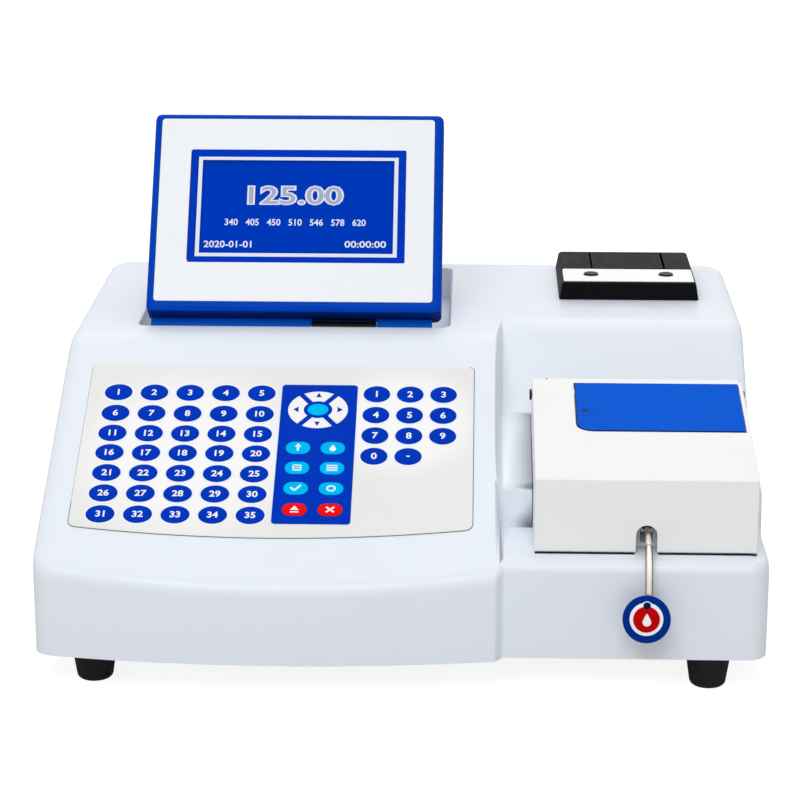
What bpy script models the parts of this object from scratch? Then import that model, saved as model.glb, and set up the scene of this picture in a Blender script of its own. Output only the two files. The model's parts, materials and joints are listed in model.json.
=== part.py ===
"""Semi-automatic chemistry analyser, bench model.

A moulded housing with a sloping membrane keypad, a folding display in a pocket of the top,
a small thermal printer, and on the right a bay whose white cover hides the measuring cell.
One object for each physical piece. Metres, +Z up, the front faces -Y, and the origin lies on
the table under the middle of the housing.
"""
import math

import bmesh
import bpy
from mathutils import Matrix, Vector

# Housing, outside
BODY_W = 0.4265
FRONT_Y = -0.186
REAR_Y = 0.198
SKIRT_Z = 0.020
TOP_Z = 0.165
WALL = 0.003
SIDE_R = 0.012
SIDE_DROP = 0.35
REAR_R = 0.010
# Keypad slope
SLOPE_DEG = 27.0
SLOPE_FRONT_Z = 0.0735
FRONT_RIDGE_R = 0.011
TOP_RIDGE_R = 0.050
# Bow of the front below the keypad
BOW = 0.012
BOW_X = -0.070
BOW_HALF = 0.134
# Bay on the right
SEAM_X = 0.0574
SEAM_W = 0.0055
SEAM_LEAD = 0.67
BAY_FRONT_Y = -0.181
SHELF_Z = 0.079
SHELF_R = 0.007
STEP_Y = -0.118
STEP_LEAN = 0.0015
LEDGE_FRONT_Z = 0.104
BAY_CORNER_BACK = 0.0060
BAY_CORNER_Z = 0.122
TOWER_RUN = 0.0550
TOWER_RIDGE_R = 0.032
BAY_CORNER_R = 0.030
# General clearances
SEAT = 0.0003
RUN = 0.0004
# Measuring chamber sunk in the bay
CHAMBER_X0 = 0.0770
CHAMBER_X1 = 0.2070
CHAMBER_BEHIND = 0.0108
CHAMBER_FLOOR_Z = 0.0787
CHAMBER_WALL = 0.003
# Sample cover
COVER_GAP = 0.0005
COVER_FRONT_Y = -0.165
COVER_FRONT_Z = 0.124
COVER_SLOPE_DEG = 10.9
COVER_LEN = 0.1285
COVER_LIFT = 0.0008
COVER_WALL = 0.002
COVER_TOP_T = 0.0035
COVER_LIP = 0.0045
COVER_AXIS_IN = 0.0062
COVER_AXIS_DOWN = 0.0090
NOTCH_X = 0.1424
NOTCH_W = 0.0124
NOTCH_TOP_Z = 0.0965
# Door in the cover
DOOR_X0 = 0.1034
DOOR_X1 = 0.2034
DOOR_V0 = 0.0595
DOOR_V1 = 0.1213
DOOR_T = 0.0022
DOOR_GAP = 0.0006
DOOR_REST = 0.0035
DOOR_AXIS_IN = 0.0038
DOOR_AXIS_DOWN = 0.0012
DOOR_SWING = 0.0105
DOOR_PIN_R = 0.0006
DOOR_PIN_LEN = 0.0015
DOOR_CUT = 0.0105
DOOR_DOT_X = 0.1089
DOOR_DOT_V = 0.0843
DOOR_DOT_R = 0.0020
# Cover hinge
COVER_PIN_R = 0.0020
COVER_PIN_HEAD_R = 0.0034
COVER_PIN_HEAD_T = 0.0012
EAR_T = 0.0016
EAR_HALF = 0.0030
BRACKET_T = 0.0015
# Keypad film, in the plane of the slope
FILM_X0 = -0.1955
FILM_X1 = 0.0418
FILM_TOP_V = 0.1732
FILM_SIDE_V = 0.0345
FILM_MID_V = 0.0262
FILM_T = 0.0009
FILM_SINK = 0.0006
KEY_RISE = 0.0003
KEY_W = 0.0168
KEY_H = 0.0142
KEY_COL = 0.0221
KEY_ROW = 0.01737
KEY_X0 = -0.1772
KEY_TOP_IN = 0.0245
NUM_COL = 0.0205
NUM_ROW = 0.01805
NUM_X0 = -0.0179
PANEL_X0 = -0.0758
PANEL_X1 = -0.0300
PANEL_V0 = 0.0385
PANEL_TOP_IN = 0.0175
PAD_X = -0.0535
PAD_TOP_IN = 0.0390
PAD_W = 0.0366
PAD_H = 0.0331
PILL_W = 0.0150
PILL_H = 0.0105
PILL_COL = 0.0210
PILL_ROW = 0.0171
PILL_X0 = -0.0638
PILL_TOP_IN = 0.0719
# Display
DISP_X0 = -0.1688
DISP_X1 = 0.0204
DISP_H = 0.1392
SHELL_LOW = 0.0060
DISP_T = 0.022
DISP_R = 0.004
DISP_LEAN_DEG = 54.0
DISP_FOOT_Y = 0.0200
DISP_FOOT_Z = 0.1800
DISP_WALL = 0.0025
FACE_IN_X = 0.0048
FACE_IN_TOP = 0.0044
FACE_IN_BOTTOM = 0.0065
FACE_T = 0.0025
FACE_PROUD = 0.0002
SCREEN_X0 = -0.1440
SCREEN_X1 = -0.0040
SCREEN_V0 = 0.0287
SCREEN_TOP_IN = 0.0269
SCREEN_SINK = 0.0010
LCD_T = 0.0080
LCD_EDGE = 0.006
BULGE_IN = 0.017
BULGE_T = 0.011
BULGE_TAPER = 0.008
AXIS_BACK_Y = 0.0090
AXIS_DOWN_Z = 0.0190
BARREL_R = 0.0052
BARREL_BACK = 0.0034
BARREL_L_X0 = -0.1664
BARREL_R_X1 = 0.0143
LUG_X0 = -0.0628
LUG_X1 = -0.0216
LUG_FOOT_HALF = 0.0032
HINGE_PIN_R = 0.0020
HINGE_PIN_GRIP = 0.012
# Pocket for the folded display
POCKET_SIDE = 0.0045
POCKET_FRONT_Y = 0.0175
POCKET_REAR_GAP = 0.004
POCKET_FLOOR_Z = 0.1430
POCKET_R = 0.006
POCKET_EDGE = 0.0015
# Printer
PRN_X0 = 0.0975
PRN_X1 = 0.1900
PRN_Y0 = 0.0905
PRN_Y1 = 0.1820
PRN_TOP_Z = 0.1770
PRN_DRAFT = 0.0020
PRN_FLANGE = 0.0040
PRN_BOTTOM_Z = 0.1290
PRN_WALL = 0.0020
PRN_LID_X0 = 0.1205
PRN_LID_X1 = 0.1694
PRN_LID_Y0 = 0.1300
PRN_LID_Y1 = 0.1755
PRN_LID_T = 0.0022
LID_AXIS_IN = 0.0040
LID_AXIS_DOWN = 0.0011
LID_PIN_R = 0.0006
LID_PIN_LEN = 0.0015
STRIP_Y0 = 0.0935
STRIP_Y1 = 0.1262
STRIP_IN = 0.0030
STRIP_T = 0.0012
PRN_BTN_R = 0.0047
PRN_BTN_X0 = 0.1192
PRN_BTN_X1 = 0.1692
PRN_BTN_Y = 0.1109
PRN_BTN_PROUD = 0.0010
PRN_BTN_TRAVEL = 0.0007
ROLL_R = 0.0165
ROLL_W = 0.0440
ROLL_CORE_R = 0.0060
PLATEN_R = 0.0042
# Feet
FOOT_X = 0.180
FOOT_FRONT_Y = -0.167
FOOT_REAR_Y = 0.165
FOOT_R_TOP = 0.0133
FOOT_R_LOW = 0.0108
FOOT_EDGE_R = 0.003
FOOT_BOSS_R = 0.008
# Base pan
PAN_T = 0.0020
PAN_RIM = 0.0105
PAN_UP = 0.0010
# Rear opening and panel
REAR_X = 0.150
REAR_Z0 = 0.036
REAR_Z1 = 0.106
REAR_RECESS = 0.012
REAR_LAP = 0.004
PANEL_T = 0.0015
# Mains rocker
ROCK_REST_DEG = 7.0
# Aspirating lever
LEVER_X = 0.1430
LEVER_PIVOT_Y = -0.1480
LEVER_PIVOT_Z = 0.0915
LEVER_R = 0.0020
LEVER_HUB_R = 0.0045
LEVER_HUB_W = 0.0070
LEVER_PIN_R = 0.0015
CLEVIS_T = 0.0025
CLEVIS_HALF = 0.0055
DISC_X = 0.1416
DISC_Y = -0.1942
DISC_Z = 0.0500
DISC_R = 0.0138
DISC_T = 0.0028
DISC_LEAN_DEG = 10.0
LABEL_R = 0.0097
LABEL_T = 0.0005

SLOPE = math.radians(SLOPE_DEG)
COVER_SLOPE = math.radians(COVER_SLOPE_DEG)
DISP_LEAN = math.radians(DISP_LEAN_DEG)
CHAMBER_REAR_Y = COVER_FRONT_Y + COVER_LEN * math.cos(COVER_SLOPE) + CHAMBER_BEHIND
BAY_CORNER_Y = CHAMBER_REAR_Y + BAY_CORNER_BACK
TOWER_RIDGE_Y = BAY_CORNER_Y + TOWER_RUN
DISC_LEAN = math.radians(DISC_LEAN_DEG)
DISP_V1 = DISP_H - SHELL_LOW
SCREEN_V1 = DISP_V1 - SCREEN_TOP_IN
KEY_V0 = FILM_TOP_V - KEY_TOP_IN
PANEL_V1 = FILM_TOP_V - PANEL_TOP_IN
PAD_V = FILM_TOP_V - PAD_TOP_IN
PILL_V0 = FILM_TOP_V - PILL_TOP_IN

for old in list(bpy.data.objects):
    bpy.data.objects.remove(old, do_unlink=True)

PARTS = bpy.data.collections.new("chemistry_analyser")
CUTTERS = bpy.data.collections.new("cutters")
bpy.context.scene.collection.children.link(PARTS)
bpy.context.scene.collection.children.link(CUTTERS)


def material(name, rgb, rough, metal=0.0):
    mat = bpy.data.materials.new(name)
    mat.use_nodes = True
    bsdf = mat.node_tree.nodes["Principled BSDF"]
    bsdf.inputs["Base Color"].default_value = (rgb[0], rgb[1], rgb[2], 1.0)
    bsdf.inputs["Roughness"].default_value = rough
    bsdf.inputs["Metallic"].default_value = metal
    mat.diffuse_color = (rgb[0], rgb[1], rgb[2], 1.0)
    return mat


WHITE = material("housing_white", (0.80, 0.85, 0.90), 0.38)
COVER_WHITE = material("cover_white", (0.88, 0.88, 0.87), 0.45)
FILM_GREY = material("film_grey", (0.80, 0.79, 0.77), 0.35)
KEY_BLUE = material("key_blue", (0.01, 0.05, 0.45), 0.35)
KEY_CYAN = material("key_cyan", (0.00, 0.52, 0.80), 0.35)
KEY_RED = material("key_red", (0.85, 0.01, 0.01), 0.35)
FRAME_BLUE = material("frame_blue", (0.01, 0.08, 0.45), 0.35)
DOOR_BLUE = material("door_blue", (0.02, 0.13, 0.62), 0.35)
SCREEN_BLUE = material("screen_blue", (0.01, 0.06, 0.50), 0.15)
BLACK = material("black_plastic", (0.02, 0.02, 0.022), 0.40)
RUBBER = material("black_rubber", (0.015, 0.015, 0.015), 0.80)
STEEL = material("steel", (0.60, 0.60, 0.58), 0.28, 1.0)
ZINC = material("zinc_sheet", (0.55, 0.56, 0.57), 0.42, 1.0)
BOARD_GREEN = material("board_green", (0.02, 0.20, 0.08), 0.45)
PAPER = material("paper_white", (0.86, 0.86, 0.84), 0.85)
ALLOY = material("anodised_alloy", (0.10, 0.10, 0.11), 0.45, 0.6)
BRASS = material("brass", (0.70, 0.52, 0.22), 0.30, 1.0)


def add(name, mesh, col, mat, smooth=None):
    obj = bpy.data.objects.new(name, mesh)
    col.objects.link(obj)
    if mat is not None:
        mesh.materials.append(mat)
    if smooth is not None:
        mesh.shade_smooth()
        mesh.set_sharp_from_angle(angle=math.radians(smooth))
    if col is CUTTERS:
        obj.hide_render = True
        obj.display_type = "WIRE"
    return obj


def bm_to(name, bm, col, mat, smooth=None):
    mesh = bpy.data.meshes.new(name)
    bm.to_mesh(mesh)
    bm.free()
    return add(name, mesh, col, mat, smooth)


def box(name, lo, hi, col=CUTTERS, mat=None, bevel=0.0, segs=2, frame=None):
    """A block between two corners, its edges rounded where bevel says so."""
    bm = bmesh.new()
    bmesh.ops.create_cube(bm, size=1.0)
    size = Vector(hi) - Vector(lo)
    mid = (Vector(hi) + Vector(lo)) / 2
    bmesh.ops.scale(bm, vec=size, verts=bm.verts)
    bmesh.ops.translate(bm, vec=mid, verts=bm.verts)
    if bevel:
        bmesh.ops.bevel(bm, geom=list(bm.edges), offset=bevel, segments=segs,
                        profile=0.5, affect="EDGES", clamp_overlap=True)
    if frame is not None:
        bmesh.ops.transform(bm, matrix=frame, verts=bm.verts)
    return bm_to(name, bm, col, mat, 35)


def rod(name, a, b, r, col=CUTTERS, mat=None, segs=24, r2=None, edge=0.0):
    """A round bar from point a to point b."""
    a = Vector(a)
    b = Vector(b)
    axis = b - a
    bm = bmesh.new()
    bmesh.ops.create_cone(bm, cap_ends=True, segments=segs, radius1=r,
                          radius2=r if r2 is None else r2, depth=axis.length)
    if edge:
        rim = [e for e in bm.edges if len(e.link_faces) == 2
               and any(len(f.verts) > 4 for f in e.link_faces)]
        bmesh.ops.bevel(bm, geom=rim, offset=edge, segments=2, profile=0.5, affect="EDGES")
    turn = Vector((0, 0, 1)).rotation_difference(axis.normalized()).to_matrix().to_4x4()
    bmesh.ops.transform(bm, matrix=Matrix.Translation((a + b) / 2) @ turn, verts=bm.verts)
    return bm_to(name, bm, col, mat, 35)


def plate(name, loops, low, high, frame, col=CUTTERS, mat=None, smooth=35):
    """A flat outline, holes as further loops, extruded from low to high along the frame's Z."""
    curve = bpy.data.curves.new(name + "_outline", "CURVE")
    curve.dimensions = "2D"
    curve.fill_mode = "BOTH"
    curve.extrude = (high - low) / 2
    for loop in loops:
        spline = curve.splines.new("POLY")
        spline.points.add(len(loop) - 1)
        for point, (px, py) in zip(spline.points, loop):
            point.co = (px, py, 0.0, 1.0)
        spline.use_cyclic_u = True
    holder = bpy.data.objects.new(name + "_outline", curve)
    CUTTERS.objects.link(holder)
    graph = bpy.context.evaluated_depsgraph_get()
    mesh = bpy.data.meshes.new_from_object(holder.evaluated_get(graph))
    bpy.data.objects.remove(holder, do_unlink=True)
    bm = bmesh.new()
    bm.from_mesh(mesh)
    bmesh.ops.remove_doubles(bm, verts=bm.verts, dist=0.000002)
    bmesh.ops.translate(bm, vec=(0, 0, (high + low) / 2), verts=bm.verts)
    bmesh.ops.transform(bm, matrix=frame, verts=bm.verts)
    bmesh.ops.recalc_face_normals(bm, faces=bm.faces)
    mesh.clear_geometry()
    mesh.materials.clear()
    bm.to_mesh(mesh)
    bm.free()
    return add(name, mesh, col, mat, smooth)


def wire(name, points, r, col, mat, res=3, closed=False):
    """A bent round bar through the points."""
    curve = bpy.data.curves.new(name + "_path", "CURVE")
    curve.dimensions = "3D"
    curve.bevel_depth = r
    curve.bevel_resolution = res
    curve.use_fill_caps = True
    spline = curve.splines.new("POLY")
    spline.points.add(len(points) - 1)
    for point, place in zip(spline.points, points):
        point.co = (place[0], place[1], place[2], 1.0)
    spline.use_cyclic_u = closed
    holder = bpy.data.objects.new(name + "_path", curve)
    CUTTERS.objects.link(holder)
    graph = bpy.context.evaluated_depsgraph_get()
    mesh = bpy.data.meshes.new_from_object(holder.evaluated_get(graph))
    bpy.data.objects.remove(holder, do_unlink=True)
    bm = bmesh.new()
    bm.from_mesh(mesh)
    bmesh.ops.remove_doubles(bm, verts=bm.verts, dist=0.00001)
    bmesh.ops.recalc_face_normals(bm, faces=bm.faces)
    mesh.clear_geometry()
    mesh.materials.clear()
    bm.to_mesh(mesh)
    bm.free()
    return add(name, mesh, col, mat, 40)


def turned(name, profile, centre, col, mat, segs=32):
    """A profile of (radius, height) points, outer side from top to bottom, turned about Z."""
    mesh = bpy.data.meshes.new(name)
    bm = bmesh.new()
    last = None
    for r, z in profile:
        vert = bm.verts.new((r, 0.0, z))
        if last is not None:
            bm.edges.new((last, vert))
        last = vert
    bm.to_mesh(mesh)
    bm.free()
    obj = add(name, mesh, col, mat)
    obj.location = centre
    screw = obj.modifiers.new("turn", "SCREW")
    screw.steps = segs
    screw.render_steps = segs
    screw.use_merge_vertices = True
    screw.merge_threshold = 0.00001
    screw.use_smooth_shade = True
    return obj


def boolean(obj, other, kind):
    mod = obj.modifiers.new(other.name, "BOOLEAN")
    mod.operation = kind
    mod.solver = "EXACT"
    mod.object = other
    return mod


def pivot(obj, spot):
    """Put the object's origin on its joint's axis, the shape staying where it is."""
    obj.data.transform(Matrix.Translation(-Vector(spot)))
    obj.location = Vector(spot)


def cut(obj, *others):
    for other in others:
        boolean(obj, other, "DIFFERENCE")


def join(obj, *others):
    for other in others:
        boolean(obj, other, "UNION")


def frame_at(origin, lean):
    """Local X stays, local Y climbs at the lean angle, local Z is the face's outward normal."""
    c = math.cos(lean)
    s = math.sin(lean)
    m = Matrix(((1, 0, 0, origin[0]), (0, c, -s, origin[1]), (0, s, c, origin[2]), (0, 0, 0, 1)))
    return m


def rounded(x0, x1, y0, y1, r, n=4):
    """Outline of a rectangle with round corners; r is one radius or four, from lower left round."""
    radii = [r] * 4 if isinstance(r, float) else list(r)
    corners = [(x0, y0, 180), (x1, y0, 270), (x1, y1, 0), (x0, y1, 90)]
    pts = []
    for (cx, cy, start), rad in zip(corners, radii):
        sx = 1 if cx == x0 else -1
        sy = 1 if cy == y0 else -1
        if rad <= 0:
            pts.append((cx, cy))
            continue
        for k in range(n + 1):
            a = math.radians(start + 90 * k / n)
            pts.append((cx + sx * rad + rad * math.cos(a), cy + sy * rad + rad * math.sin(a)))
    return pts


def ellipse(cx, cy, w, h, n=16):
    return [(cx + w / 2 * math.cos(2 * math.pi * k / n), cy + h / 2 * math.sin(2 * math.pi * k / n))
            for k in range(n)]


def fillet(p0, p1, p2, r, n):
    """The n + 1 points of the arc of radius r that rounds the corner p1."""
    a = (p0 - p1).normalized()
    b = (p2 - p1).normalized()
    half = a.angle(b) / 2
    start = p1 + a * (r / math.tan(half))
    centre = p1 + (a + b).normalized() * (r / math.sin(half))
    arm = start - centre
    turn = math.pi - 2 * half
    side = 1 if a.x * b.y - a.y * b.x < 0 else -1
    pts = []
    for k in range(n + 1):
        t = side * turn * k / n
        pts.append(Vector((centre.x + arm.x * math.cos(t) - arm.y * math.sin(t),
                           centre.y + arm.x * math.sin(t) + arm.y * math.cos(t))))
    return pts


# Housing sections, as points (y, z) with the share of the side rounding they take in y and z
def slope_z(y):
    return SLOPE_FRONT_Z + math.tan(SLOPE) * (y - FRONT_Y)


RIDGE_Y = FRONT_Y + (TOP_Z - SLOPE_FRONT_Z) / math.tan(SLOPE)


def ledge_z(y):
    share = (y - STEP_Y) / (BAY_CORNER_Y - STEP_Y)
    return LEDGE_FRONT_Z + share * (BAY_CORNER_Z - LEDGE_FRONT_Z)


def bay_section():
    p = [Vector(v) for v in ((BAY_FRONT_Y, SKIRT_Z), (BAY_FRONT_Y, SHELF_Z), (STEP_Y, SHELF_Z),
                             (STEP_Y + STEP_LEAN, LEDGE_FRONT_Z), (BAY_CORNER_Y, BAY_CORNER_Z),
                             (TOWER_RIDGE_Y, TOP_Z), (REAR_Y, TOP_Z), (REAR_Y, SKIRT_Z))]
    pts = [(p[0].x, p[0].y, 1.0, 0.0)]
    pts += [(v.x, v.y, 1.0, SIDE_DROP) for v in fillet(p[0], p[1], p[2], SHELF_R, 4)]
    pts += [(v.x, v.y, 0.0, SIDE_DROP) for v in fillet(p[1], p[2], p[3], 0.003, 2)]
    pts += [(v.x, v.y, 0.0, SIDE_DROP) for v in fillet(p[2], p[3], p[4], 0.005, 3)]
    pts += [(v.x, v.y, 0.0, SIDE_DROP) for v in fillet(p[3], p[4], p[5], BAY_CORNER_R, 3)]
    pts += [(v.x, v.y, 0.0, SIDE_DROP) for v in fillet(p[4], p[5], p[6], TOWER_RIDGE_R, 4)]
    pts += [(v.x, v.y, -1.0, SIDE_DROP) for v in fillet(p[5], p[6], p[7], REAR_R, 4)]
    pts.append((p[7].x, p[7].y, -1.0, 0.0))
    return pts


BAY = bay_section()


def front_y(x):
    share = (x - BOW_X) / BOW_HALF
    return FRONT_Y - BOW * max(0.0, 1 - share * share)


def left_section(x):
    yf = front_y(x)
    p = [Vector(v) for v in ((yf, SKIRT_Z), (yf, slope_z(yf)), (RIDGE_Y, TOP_Z), (REAR_Y, TOP_Z),
                             (REAR_Y, SKIRT_Z))]
    pts = [(p[0].x, p[0].y, 1.0, 0.0)]
    pts += [(v.x, v.y, 1.0, SIDE_DROP - math.tan(SLOPE)) for v in fillet(p[0], p[1], p[2], FRONT_RIDGE_R, 4)]
    pts += [(b[0], slope_z(b[0]), 0.0, SIDE_DROP) for b in BAY[6:13]]
    steps = [BAY[12][0] * (1 - k / 5) + (RIDGE_Y - 0.013) * k / 5 for k in range(1, 5)]
    pts += [(y, slope_z(y), 0.0, SIDE_DROP) for y in steps]
    pts += [(v.x, v.y, 0.0, SIDE_DROP) for v in fillet(p[1], p[2], p[3], TOP_RIDGE_R, 4)]
    pts += [(v.x, v.y, -1.0, SIDE_DROP) for v in fillet(p[2], p[3], p[4], REAR_R, 4)]
    pts.append((p[4].x, p[4].y, -1.0, 0.0))
    return pts


def inward(pts, depth):
    """The same section moved in by the wall, each point along the mean of its two normals."""
    out = []
    for k, (y, z, sy, sz) in enumerate(pts):
        here = Vector((y, z))
        normals = []
        for one, two in ((k - 1, k), (k, k + 1)):
            if one >= 0 and two < len(pts):
                run = Vector(pts[two][:2]) - Vector(pts[one][:2])
                if run.length > 0.00001:
                    run.normalize()
                    normals.append(Vector((run.y, -run.x)))
        mean = sum(normals, Vector((0, 0))).normalized()
        spot = here + mean * depth / max(0.6, mean.dot(normals[0]))
        out.append((spot.x, spot.y, sy, sz))
    return out


def section(x, wall):
    """The housing's outline at x, between the keypad body and the bay, moved in by the wall."""
    t = (x - (SEAM_X - SEAM_W / 2)) / SEAM_W
    t = min(1.0, max(0.0, t))
    w = t * t * (3 - 2 * t)
    bay = inward(BAY, wall)
    if w == 1:
        return bay
    left = inward(left_section(x), wall)
    return [tuple(a + (b - a) * w for a, b in zip(pa, pb)) for pa, pb in zip(left, bay)]


def loft(name, rows, col, mat):
    """Skin over rows of points, closed by its end faces and a bottom."""
    bm = bmesh.new()
    rings = [[bm.verts.new(p) for p in row] for row in rows]
    for one, two in zip(rings, rings[1:]):
        for k in range(len(one)):
            j = (k + 1) % len(one)
            bm.faces.new((one[k], two[k], two[j], one[j]))
    bm.faces.new(rings[0])
    bm.faces.new(list(reversed(rings[-1])))
    bmesh.ops.recalc_face_normals(bm, faces=bm.faces)
    if bm.calc_volume(signed=True) < 0:
        bmesh.ops.reverse_faces(bm, faces=bm.faces)
    return bm_to(name, bm, col, mat, 30)


def housing_rows(wall, low):
    """Rows of points along X: rounded left end, keypad body, step to the bay, rounded right end."""
    half = BODY_W / 2 - wall
    r = SIDE_R - wall
    shift = wall * SEAM_LEAD
    stations = []
    for k in range(5):
        a = math.pi / 2 * k / 4
        stations.append((-half + r * (1 - math.cos(a)), r * (1 - math.sin(a))))
    start = -half + r
    stop = SEAM_X - SEAM_W / 2 - shift
    for k in range(1, 9):
        stations.append((start + (stop - start) * k / 8, 0.0))
    for k in range(1, 6):
        stations.append((stop + SEAM_W * k / 5, 0.0))
    for k in range(4, -1, -1):
        a = math.pi / 2 * k / 4
        stations.append((half - r * (1 - math.cos(a)), r * (1 - math.sin(a))))
    rows = []
    for x, d in stations:
        row = [(x, y + sy * d, z - sz * d) for y, z, sy, sz in section(x + shift, wall)]
        row[0] = (x, row[0][1], low)
        row[-1] = (x, row[-1][1], low)
        rows.append(row)
    return rows


SLOPE_M = frame_at((0, FRONT_Y, SLOPE_FRONT_Z), SLOPE)
COVER_M = frame_at((0, COVER_FRONT_Y, COVER_FRONT_Z), COVER_SLOPE)
DISP_M = frame_at((0, DISP_FOOT_Y, DISP_FOOT_Z), DISP_LEAN)
FLAT = Matrix.Identity(4)
SIDE_M = Matrix(((0, 0, 1, 0), (1, 0, 0, 0), (0, 1, 0, 0), (0, 0, 0, 1)))
BACK_M = Matrix(((1, 0, 0, 0), (0, 0, 1, 0), (0, 1, 0, 0), (0, 0, 0, 1)))

# Hinge of the display
AXIS_Y = DISP_FOOT_Y + AXIS_BACK_Y
AXIS_Z = DISP_FOOT_Z - AXIS_DOWN_Z
AXIS_V = AXIS_BACK_Y * math.cos(DISP_LEAN) - AXIS_DOWN_Z * math.sin(DISP_LEAN)
AXIS_W = -AXIS_BACK_Y * math.sin(DISP_LEAN) - AXIS_DOWN_Z * math.cos(DISP_LEAN)
POCKET_X0 = DISP_X0 - POCKET_SIDE
POCKET_X1 = DISP_X1 + POCKET_SIDE
POCKET_REAR_Y = AXIS_Y + DISP_V1 - AXIS_V + POCKET_REAR_GAP

# Upper housing
housing = loft("upper_housing", housing_rows(0.0, SKIRT_Z), PARTS, WHITE)
hollow = loft("housing_hollow", housing_rows(WALL, SKIRT_Z - 0.01), CUTTERS, None)

pocket_cut = plate("pocket_cut", [rounded(POCKET_X0, POCKET_X1, POCKET_FRONT_Y, POCKET_REAR_Y, POCKET_R)],
                   POCKET_FLOOR_Z, TOP_Z + 0.03, FLAT)
pocket_edge = loft("pocket_edge", [[(x, y, z) for x, y in rounded(POCKET_X0 - g, POCKET_X1 + g,
                                                                  POCKET_FRONT_Y - g,
                                                                  POCKET_REAR_Y + g, POCKET_R + g)]
                                   for g, z in ((0.0, TOP_Z - POCKET_EDGE),
                                                (POCKET_EDGE + 0.001, TOP_Z + 0.001))],
                   CUTTERS, None)
pocket_tub = plate("pocket_tub", [rounded(POCKET_X0 - WALL, POCKET_X1 + WALL, POCKET_FRONT_Y - WALL,
                                          POCKET_REAR_Y + WALL, POCKET_R + WALL)],
                   POCKET_FLOOR_Z - WALL, TOP_Z - 0.0018, FLAT)
chamber_cut = box("chamber_cut", (CHAMBER_X0, STEP_Y - 0.010, CHAMBER_FLOOR_Z),
                  (CHAMBER_X1, CHAMBER_REAR_Y, TOP_Z))
ledge_low = 0.0024
chamber_tub = plate("chamber_tub", [[(STEP_Y - 0.0005, CHAMBER_FLOOR_Z - CHAMBER_WALL),
                                     (CHAMBER_REAR_Y + CHAMBER_WALL, CHAMBER_FLOOR_Z - CHAMBER_WALL),
                                     (CHAMBER_REAR_Y + CHAMBER_WALL,
                                      ledge_z(CHAMBER_REAR_Y + CHAMBER_WALL) - ledge_low),
                                     (STEP_Y + 0.003, ledge_z(STEP_Y + 0.003) - ledge_low),
                                     (STEP_Y + 0.001, CHAMBER_FLOOR_Z + 0.001),
                                     (STEP_Y - 0.0005, CHAMBER_FLOOR_Z + 0.0001)]],
                    CHAMBER_X0 - CHAMBER_WALL, CHAMBER_X1 + CHAMBER_WALL / 2, SIDE_M)
rear_cut = plate("rear_cut", [rounded(-REAR_X, REAR_X, REAR_Z0, REAR_Z1, 0.004)],
                 REAR_Y - 0.03, REAR_Y + 0.03, BACK_M)
rear_tub = plate("rear_tub", [rounded(-REAR_X - WALL, REAR_X + WALL, REAR_Z0 - WALL, REAR_Z1 + WALL, 0.006)],
                 REAR_Y - REAR_RECESS, REAR_Y - 0.001, BACK_M)
printer_cut = box("printer_cut", (PRN_X0 + PRN_FLANGE, PRN_Y0 + PRN_FLANGE, TOP_Z - 0.03),
                  (PRN_X1 - PRN_FLANGE, PRN_Y1 - PRN_FLANGE, TOP_Z + 0.03))


def film_outline(grow=0.0, n=16):
    """Outline of the keypad film: straight top and sides, a long arc below, round corners."""
    x0 = FILM_X0 - grow
    x1 = FILM_X1 + grow
    mid = (x0 + x1) / 2
    half = (x1 - x0) / 2
    low = FILM_MID_V - grow
    sag = FILM_SIDE_V - FILM_MID_V
    r_low = 0.005
    pts = []
    for k in range(n + 1):
        x = x0 + r_low + (2 * half - 2 * r_low) * k / n
        share = (x - mid) / half
        pts.append((x, low + sag * share * share))
    right = pts[-1][1]
    for k in range(1, 4):
        a = math.radians(-86 + 86 * k / 3)
        pts.append((x1 - r_low + r_low * math.cos(a), right + 0.0051 + r_low * math.sin(a)))
    for k in range(4):
        a = math.radians(90 * k / 3)
        pts.append((x1 - 0.0025 + 0.0025 * math.cos(a), FILM_TOP_V + grow - 0.0025 + 0.0025 * math.sin(a)))
    for k in range(4):
        a = math.radians(90 + 90 * k / 3)
        pts.append((x0 + 0.0025 + 0.0025 * math.cos(a), FILM_TOP_V + grow - 0.0025 + 0.0025 * math.sin(a)))
    left = pts[0][1]
    for k in range(3):
        a = math.radians(180 + 86 * k / 3)
        pts.append((x0 + r_low + r_low * math.cos(a), left + 0.0051 + r_low * math.sin(a)))
    return pts


film_cut = plate("film_cut", [film_outline(SEAT)], -FILM_SINK - SEAT, 0.010, SLOPE_M)
cut(housing, hollow)
join(housing, pocket_tub, chamber_tub, rear_tub)
cut(housing, pocket_cut, pocket_edge, chamber_cut, rear_cut, printer_cut, film_cut)

# Keypad film: one moulded membrane with its keys pressed a little proud
film = plate("keypad_overlay", [film_outline()], -FILM_SINK, FILM_T - FILM_SINK, SLOPE_M, PARTS, FILM_GREY)
FILM_FACE = FILM_T - FILM_SINK
key_loops = []
for row in range(7):
    for column in range(5):
        key_loops.append(ellipse(KEY_X0 + KEY_COL * column, KEY_V0 - KEY_ROW * row, KEY_W, KEY_H, 10))
for row in range(4):
    for column in range(3):
        if row < 3 or column < 2:
            key_loops.append(ellipse(NUM_X0 + NUM_COL * column, KEY_V0 - NUM_ROW * row, KEY_W, KEY_H, 10))
key_loops.append(rounded(PANEL_X0, PANEL_X1, PANEL_V0, PANEL_V1, 0.0025, 3))
keys = plate("key_faces", key_loops, FILM_FACE - 0.0003, FILM_FACE + KEY_RISE, SLOPE_M, CUTTERS, KEY_BLUE)
pad_loops = [ellipse(PAD_X, PAD_V, PAD_W, PAD_H, 20)]
for row in range(4):
    for column in range(2):
        x = PILL_X0 + PILL_COL * column
        v = PILL_V0 - PILL_ROW * row
        pad_loops.append(rounded(x - PILL_W / 2, x + PILL_W / 2, v - PILL_H / 2, v + PILL_H / 2,
                                 PILL_H / 2 - 0.0001, 3))
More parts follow.
